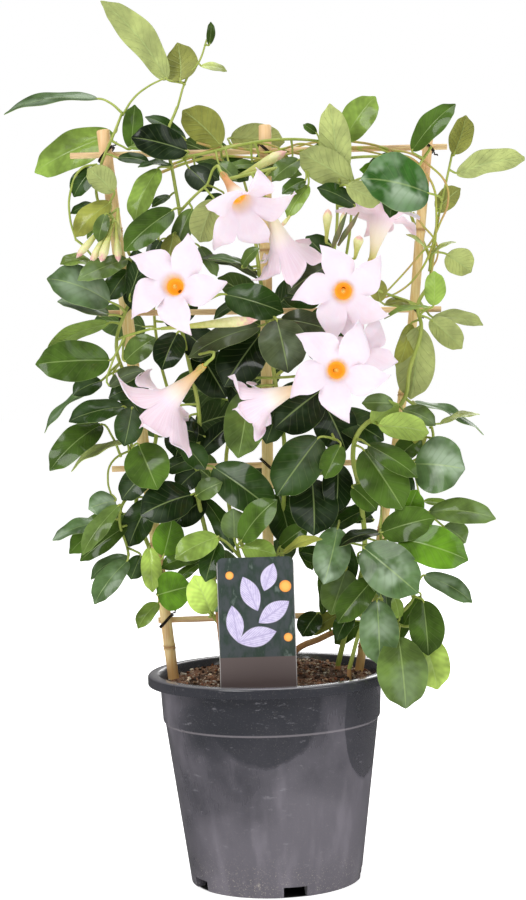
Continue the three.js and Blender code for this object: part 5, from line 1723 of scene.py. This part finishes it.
class MANDEVILLA_OT_vines(bpy.types.Operator):
    """Make the leafy stems with their leaf stalks, flower stalks, leaves and buds"""

    bl_idname = "mandevilla.vines"
    bl_label = "Vines"

    def execute(self, context):
        settings = context.scene.mandevilla_leaf
        green = stem_finish("green stem", settings.stem, (0.40, 0.46, 0.10), 0.45)
        bark = stem_finish("woody stem", settings.bark, (0.52, 0.29, 0.12), 0.6)
        blades = [leaf_upper(settings), leaf_under(settings)]
        large = flat_blade(12, 40, blades)
        small = flat_blade(8, 20, blades)
        deselect()
        bpy.ops.mesh.primitive_uv_sphere_add(segments=15, ring_count=16, radius=1)
        ball = context.object
        ball.data.materials.append(bud_finish())
        smooth_faces(ball)
        for name, vine in VINES.items():
            lines = [[np.array(point, float) for point in route] for route, _, _ in vine["stems"]]
            leaves = vine["leaves"] + vine["inner"] or paired_leaves(lines, BACK_PAIRS)
            pieces = [rods(name, self.strands(name, lines, leaves), [green, bark])]
            for leaf in leaves:
                long = math.dist(leaf[0:3], leaf[3:6]) > LONG_LEAF
                pieces.append(shaped_leaf(large if long else small, leaf, settings))
            pieces += [pointed_bud(ball, bud) for bud in vine["buds"]]
            hand_over(join(pieces), f"{name}_foliage", "leaf", name)
        for blank in (large, small, ball):
            bpy.data.objects.remove(blank)
        return {"FINISHED"}

    def strands(self, name, lines, leaves):
        """A vine's stems, woody at the foot of the first, and all the stalks that leave them."""
        vine = VINES[name]
        strands = []
        for line, (_, thick, thin) in zip(lines, vine["stems"]):
            radii = np.linspace(thick, thin, len(line))
            woody = [k for k, point in enumerate(line) if point[2] <= vine["woody"]]
            if line is lines[0] and len(woody) > 1:
                last = woody[-1] + 1
                strands.append((line[:last], radii[:last], 1))
                strands.append((line[last - 1:], radii[last - 1:] * 0.97, 0))
            else:
                strands.append((line, radii, 0))
        strands += [leaf_stalk(nearest_on(lines, ends(leaf)[0]), leaf) for leaf in leaves]
        strands += [flower_stalk(bloom, lines) for bloom in BLOOMS if bloom[0] == name]
        for bud in vine["buds"]:
            base = ends(bud)[0]
            root = nearest_on(lines, base)
            strands.append(([root, (root + base) / 2, base], [0.8, 0.8, 0.9], 0))
        return strands


# ---------------------------------------------------------------- blooms


PETALS = 5
PETAL_COLUMNS = 8
PETAL_ROWS = 28
# (distance from the axis, height over the tube's foot) along a sepal, in mm
SEPAL = ((0.9, 0), (2.1, 2), (2.7, 6.5))
# (depth below the throat's rim, radius) along the cone of anthers, in mm
ANTHERS = ((19, 0.9), (14, 2.1), (10, 1.9), (6, 0.3))
# (share from foot to rim, radius in mm) of the funnel
TUBE_PROFILE = [(0, 1.6), (0.16, 1.9), (0.34, 2.7), (0.52, 4.2), (0.70, 6.0), (0.86, 7.6),
                (1, THROAT_R)]
# (share from rim to tip, radius as a share of the reach, degrees from the petal's middle)
PETAL_LEFT = [(0, 0.28, -36), (0.25, 0.43, -37), (0.5, 0.58, -33), (0.7, 0.71, -22),
              (0.85, 0.84, -1), (1, 1.04, 17)]
PETAL_RIGHT = [(0, 0.28, 36), (0.25, 0.43, 36), (0.5, 0.58, 32), (0.7, 0.72, 27),
               (0.85, 0.85, 20), (1, 1.04, 17)]
# (share from rim to tip, height over the rim in mm, for a petal with the reach below)
PETAL_RISE = [(0, 0.0), (0.2, 2.4), (0.45, 3.9), (0.7, 2.6), (0.88, -0.2), (1, -3.0)]
RISE_REACH = 34


def petal_points(x, y, bloom, number, draw):
    """Points of one petal and its fifth of the funnel.

    x runs across; y runs from -1 at the foot to 0 at the funnel's rim and 1 at the petal's tip.
    """
    throat, facing, side, up = bloom_frame(bloom)
    reach, spin = bloom[7], bloom[8]
    step = 360 / PETALS
    middle = spin + step * (number + 0.5)
    out = np.clip(y, 0, 1)
    tube = np.clip(y + 1, 0, 1)
    share = (1 - x) / 2
    # The petal's two margins differ, which skews it like a pinwheel's blade
    (left_r, left_a), (right_r, right_a) = [
        [through([(knot[0], knot[part]) for knot in margin], out) for part in (1, 2)]
        for margin in (PETAL_LEFT, PETAL_RIGHT)]
    bulge = 0.05 * ease(0.1, 0.6, out) * ease(1.0, 0.8, out)
    radius = (left_r + (right_r - left_r) * share + bulge * 4 * share * (1 - share)) * reach
    angle = left_a + (right_a - left_a) * share
    # Cupped, creased beside the middle, and ruffled towards the margins
    cup, ruffle, turn = draw.uniform(-1.2, 1.2), draw.uniform(0.9, 1.9), draw.uniform(0, 6.28)
    edge = np.abs(2 * share - 1)
    free = ease(0.0, 0.35, out)
    forward = through(PETAL_RISE, out) * reach / RISE_REACH
    forward = forward + free * (1.5 * (2 * share - 1) + cup * out * out * 2.0)
    waves = np.sin(5.5 * out * (1.4 + 0.3 * number % 1) + turn + 2.2 * share)
    forward = forward + free * ruffle * edge**2 * waves
    crease = np.exp(-((2 * share - 1.1) / 0.16) ** 2) * ease(1.1, 0.5, out)
    forward = forward - 1.1 * free * crease
    radius = radius + (THROAT_R - PETAL_LEFT[0][1] * reach) * ease(0.3, 0.0, out)
    # A half open bloom leans its petals forward round the rim
    closing = math.radians(bloom[9])
    forward = forward + (radius - THROAT_R) * math.sin(closing)
    radius = THROAT_R + (radius - THROAT_R) * math.cos(closing)
    # Below the rim the points belong to the funnel
    radius = np.where(y < 0, through(TUBE_PROFILE, tube), radius)
    angle = np.where(y < 0, step * (share - 0.5), angle)
    forward = np.where(y < 0, (tube - 1) * BLOOM_TUBE, forward)
    angle = np.radians(middle + angle)
    return (throat + np.outer(radius * np.cos(angle), side) + np.outer(radius * np.sin(angle), up)
            + np.outer(forward, facing))


class MANDEVILLA_OT_blooms(bpy.types.Operator):
    """Make the funnel-shaped blooms with five skewed petals"""

    bl_idname = "mandevilla.blooms"
    bl_label = "Blooms"

    def execute(self, context):
        settings = context.scene.mandevilla_bloom
        finishes = [petal_upper(settings), petal_back(settings)]
        green = stem_finish("calyx", settings.calyx, (0.45, 0.44, 0.12), 0.5)
        anther = stem_finish("anthers", (0.92, 0.55, 0.08), (0.95, 0.70, 0.20), 0.6)
        deselect()
        bpy.ops.mesh.primitive_grid_add(x_subdivisions=PETAL_COLUMNS, y_subdivisions=PETAL_ROWS,
                                        size=2)
        blank = context.object
        for material in finishes:
            blank.data.materials.append(material)
        for i, bloom in enumerate(BLOOMS):
            draw = np.random.default_rng(70 + i)
            x, y, _ = points_of(blank).T
            petals = []
            for number in range(PETALS):
                petal = copy_of(blank)
                set_points(petal, within(petal_points(x, y, bloom, number, draw)) * MM)
                petals.append(petal)
            flower = join(petals)
            edit(flower, (bpy.ops.mesh.remove_doubles, {"threshold": 2e-5}))
            wall = flower.modifiers.new("wall", "SOLIDIFY")
            wall.thickness = settings.thickness
            wall.offset = -1
            wall.material_offset = 1
            apply_modifiers(flower)
            smooth_faces(flower, 70)
            flush = TUBE_FLUSH.get(i + 1, 0.0)
            give_attribute(flower, "tube_flush", np.full(len(flower.data.vertices), flush))
            flower = join([flower, self.calyx(bloom, green), self.anthers(bloom, anther)])
            hand_over(flower, f"flower_{i + 1}", "petal", f"bloom_{i + 1}")
        bpy.data.objects.remove(blank)
        return {"FINISHED"}

    def calyx(self, bloom, material):
        """Five small pointed sepals round the foot of the tube."""
        throat, facing, side, up = bloom_frame(bloom)
        strands = []
        for k in range(PETALS):
            angle = math.radians(bloom[8] + 360 / PETALS * k)
            out = side * math.cos(angle) + up * math.sin(angle)
            foot = throat - facing * (BLOOM_TUBE - 0.4)
            route = [foot + out * wide + facing * high for wide, high in SEPAL]
            strands.append((route, [1.0, 0.95, 0.15], 0))
        return rods("calyx", strands, [material], roundness=1, steps=4)

    def anthers(self, bloom, material):
        """The pointed cone of anthers deep in the throat."""
        throat, facing, _, _ = bloom_frame(bloom)
        route = [throat - facing * depth for depth, _ in ANTHERS]
        return rods("anthers", [(route, [radius for _, radius in ANTHERS], 0)], [material], steps=4)


# ---------------------------------------------------------------- stage


# place, size in metres, power in watts
LIGHTS = {
    "key": ((-1.6, -2.0, 2.3), 1.6, 46),
    "fill": ((2.0, -1.8, 1.2), 1.8, 18),
    "top": ((0.2, 0.3, 2.4), 1.8, 26),
    "back": ((0.6, 2.2, 1.3), 1.8, 20),
}
# Where the lamps point
AIM = (0, 0, 0.35)
# The camera's shift, in pixels of a picture with this long side
PICTURE_LONG_SIDE = 900
SHIFT_PIXELS = (-0.5, 2.6)
# Strength of the white room as a light, and as glossy surfaces mirror it
DAYLIGHT = 0.36
MIRRORED_ROOM = 0.09
FLOOR_GLOW = 0.70
FLOOR_SIDE = 40
FLOOR_DROP = 0.2
# A painted shadow darkens the floor and stops its glow between these distances from the middle,
# under the pot
POT_SHADOW_REACH = (63, 66)


class MANDEVILLA_OT_stage(bpy.types.Operator):
    """Set the camera, the soft lights, the white room and the floor"""

    bl_idname = "mandevilla.stage"
    bl_label = "Stage"

    def execute(self, context):
        settings = context.scene.mandevilla_stage
        self.camera(context, settings)
        for name, (place, width, power) in LIGHTS.items():
            light = bpy.data.lights.new(name, "AREA")
            light.shape = "DISK"
            light.size = width
            light.energy = power
            lamp = placed(name, light)
            lamp.location = place
            lamp.rotation_euler = (Vector(AIM) - Vector(place)).to_track_quat("-Z", "Y").to_euler()
        self.room(context)
        self.floor(context, settings)
        context.scene.view_settings.view_transform = "Standard"
        return {"FINISHED"}

    def camera(self, context, settings):
        """A long lens in front of the plant, slightly tilted and turned."""
        lens = bpy.data.cameras.new("camera")
        lens.lens = settings.lens
        lens.sensor_width = 36
        lens.shift_x = SHIFT_PIXELS[0] / PICTURE_LONG_SIDE
        lens.shift_y = SHIFT_PIXELS[1] / PICTURE_LONG_SIDE
        camera = placed("camera", lens)
        forward = Vector((0, math.cos(settings.pitch), -math.sin(settings.pitch)))
        right = Vector((1, 0, 0))
        up = right.cross(forward)
        turned_right = right * math.cos(settings.roll) - up * math.sin(settings.roll)
        turned_up = up * math.cos(settings.roll) + right * math.sin(settings.roll)
        pose = Matrix((turned_right, turned_up, -forward)).transposed().to_4x4()
        pose.translation = (0, -settings.distance, settings.height)
        camera.matrix_world = pose
        context.scene.camera = camera

    def room(self, context):
        """A white room that lights the plant more softly than it looks."""
        world = bpy.data.worlds.new("white room")
        world.use_nodes = True
        context.scene.world = world
        tree = world.node_tree
        tree.nodes.clear()
        path = tree.nodes.new("ShaderNodeLightPath")
        light, mirrored, seen = (tree.nodes.new("ShaderNodeBackground") for _ in range(3))
        for shade, strength in ((light, DAYLIGHT), (mirrored, MIRRORED_ROOM), (seen, 1.0)):
            shade.inputs["Color"].default_value = (1, 1, 1, 1)
            shade.inputs["Strength"].default_value = strength
        last = light
        for ray, shade in (("Is Glossy Ray", mirrored), ("Is Camera Ray", seen)):
            either = tree.nodes.new("ShaderNodeMixShader")
            tree.links.new(path.outputs[ray], either.inputs[0])
            tree.links.new(last.outputs[0], either.inputs[1])
            tree.links.new(shade.outputs[0], either.inputs[2])
            last = either
        out = tree.nodes.new("ShaderNodeOutputWorld")
        tree.links.new(last.outputs[0], out.inputs[0])

    def floor(self, context, settings):
        """A wide white floor with a painted shadow where the pot stands on it."""
        deselect()
        bpy.ops.mesh.primitive_plane_add(size=FLOOR_SIDE, location=(0, 0, -FLOOR_DROP * MM))
        floor = context.object
        floor.name = "floor"
        finish = Finish("white floor", Roughness=0.8, Specular_IOR_Level=0.1,
                        Emission_Strength=FLOOR_GLOW)
        x, y, _ = finish.axes(finish.place())
        reach = finish.squares(x, y)
        near, far = ((edge * MM) ** 2 for edge in POT_SHADOW_REACH)
        # Painted shadow: under the pot the floor turns dark and stops glowing
        painted_pot_shadow = finish.step(reach, near, far, 1, 0)
        colour = finish.mix(painted_pot_shadow, settings.floor, (0.02, 0.02, 0.02))
        glow = finish.mix(painted_pot_shadow, (1, 1, 1), (0, 0, 0))
        floor.data.materials.append(finish.wear(colour, glow=glow))
        floor.visible_glossy = False


# ---------------------------------------------------------------- sidebar and running


MAKERS = (
    MANDEVILLA_OT_stage,
    MANDEVILLA_OT_pot,
    MANDEVILLA_OT_soil,
    MANDEVILLA_OT_canes,
    MANDEVILLA_OT_cross_bars,
    MANDEVILLA_OT_wire_ties,
    MANDEVILLA_OT_label,
    MANDEVILLA_OT_vines,
    MANDEVILLA_OT_young_shoots,
    MANDEVILLA_OT_blooms,
)


class MANDEVILLA_PT_pieces(bpy.types.Panel):
    """The pieces of the plant, in the order they are made"""

    bl_idname = "MANDEVILLA_PT_pieces"
    bl_label = "Potted mandevilla"
    bl_space_type = "VIEW_3D"
    bl_region_type = "UI"
    bl_category = "Mandevilla"

    def draw(self, context):
        for maker in MAKERS:
            self.layout.operator(maker.bl_idname)
        for name, group in SETTINGS.items():
            box = self.layout.box()
            for key in group.__annotations__:
                box.prop(getattr(context.scene, name), key)


def register():
    for name, group in SETTINGS.items():
        bpy.utils.register_class(group)
        setattr(bpy.types.Scene, name, bpy.props.PointerProperty(type=group))
    for maker in MAKERS:
        bpy.utils.register_class(maker)
    bpy.utils.register_class(MANDEVILLA_PT_pieces)


def unregister():
    bpy.utils.unregister_class(MANDEVILLA_PT_pieces)
    for maker in reversed(MAKERS):
        bpy.utils.unregister_class(maker)
    for name, group in SETTINGS.items():
        delattr(bpy.types.Scene, name)
        bpy.utils.unregister_class(group)


def main():
    register()
    for make in (bpy.ops.mandevilla.stage, bpy.ops.mandevilla.pot, bpy.ops.mandevilla.soil,
                 bpy.ops.mandevilla.canes, bpy.ops.mandevilla.cross_bars,
                 bpy.ops.mandevilla.wire_ties, bpy.ops.mandevilla.label, bpy.ops.mandevilla.vines,
                 bpy.ops.mandevilla.young_shoots, bpy.ops.mandevilla.blooms):
        make()


if __name__ == "__main__":
    main()
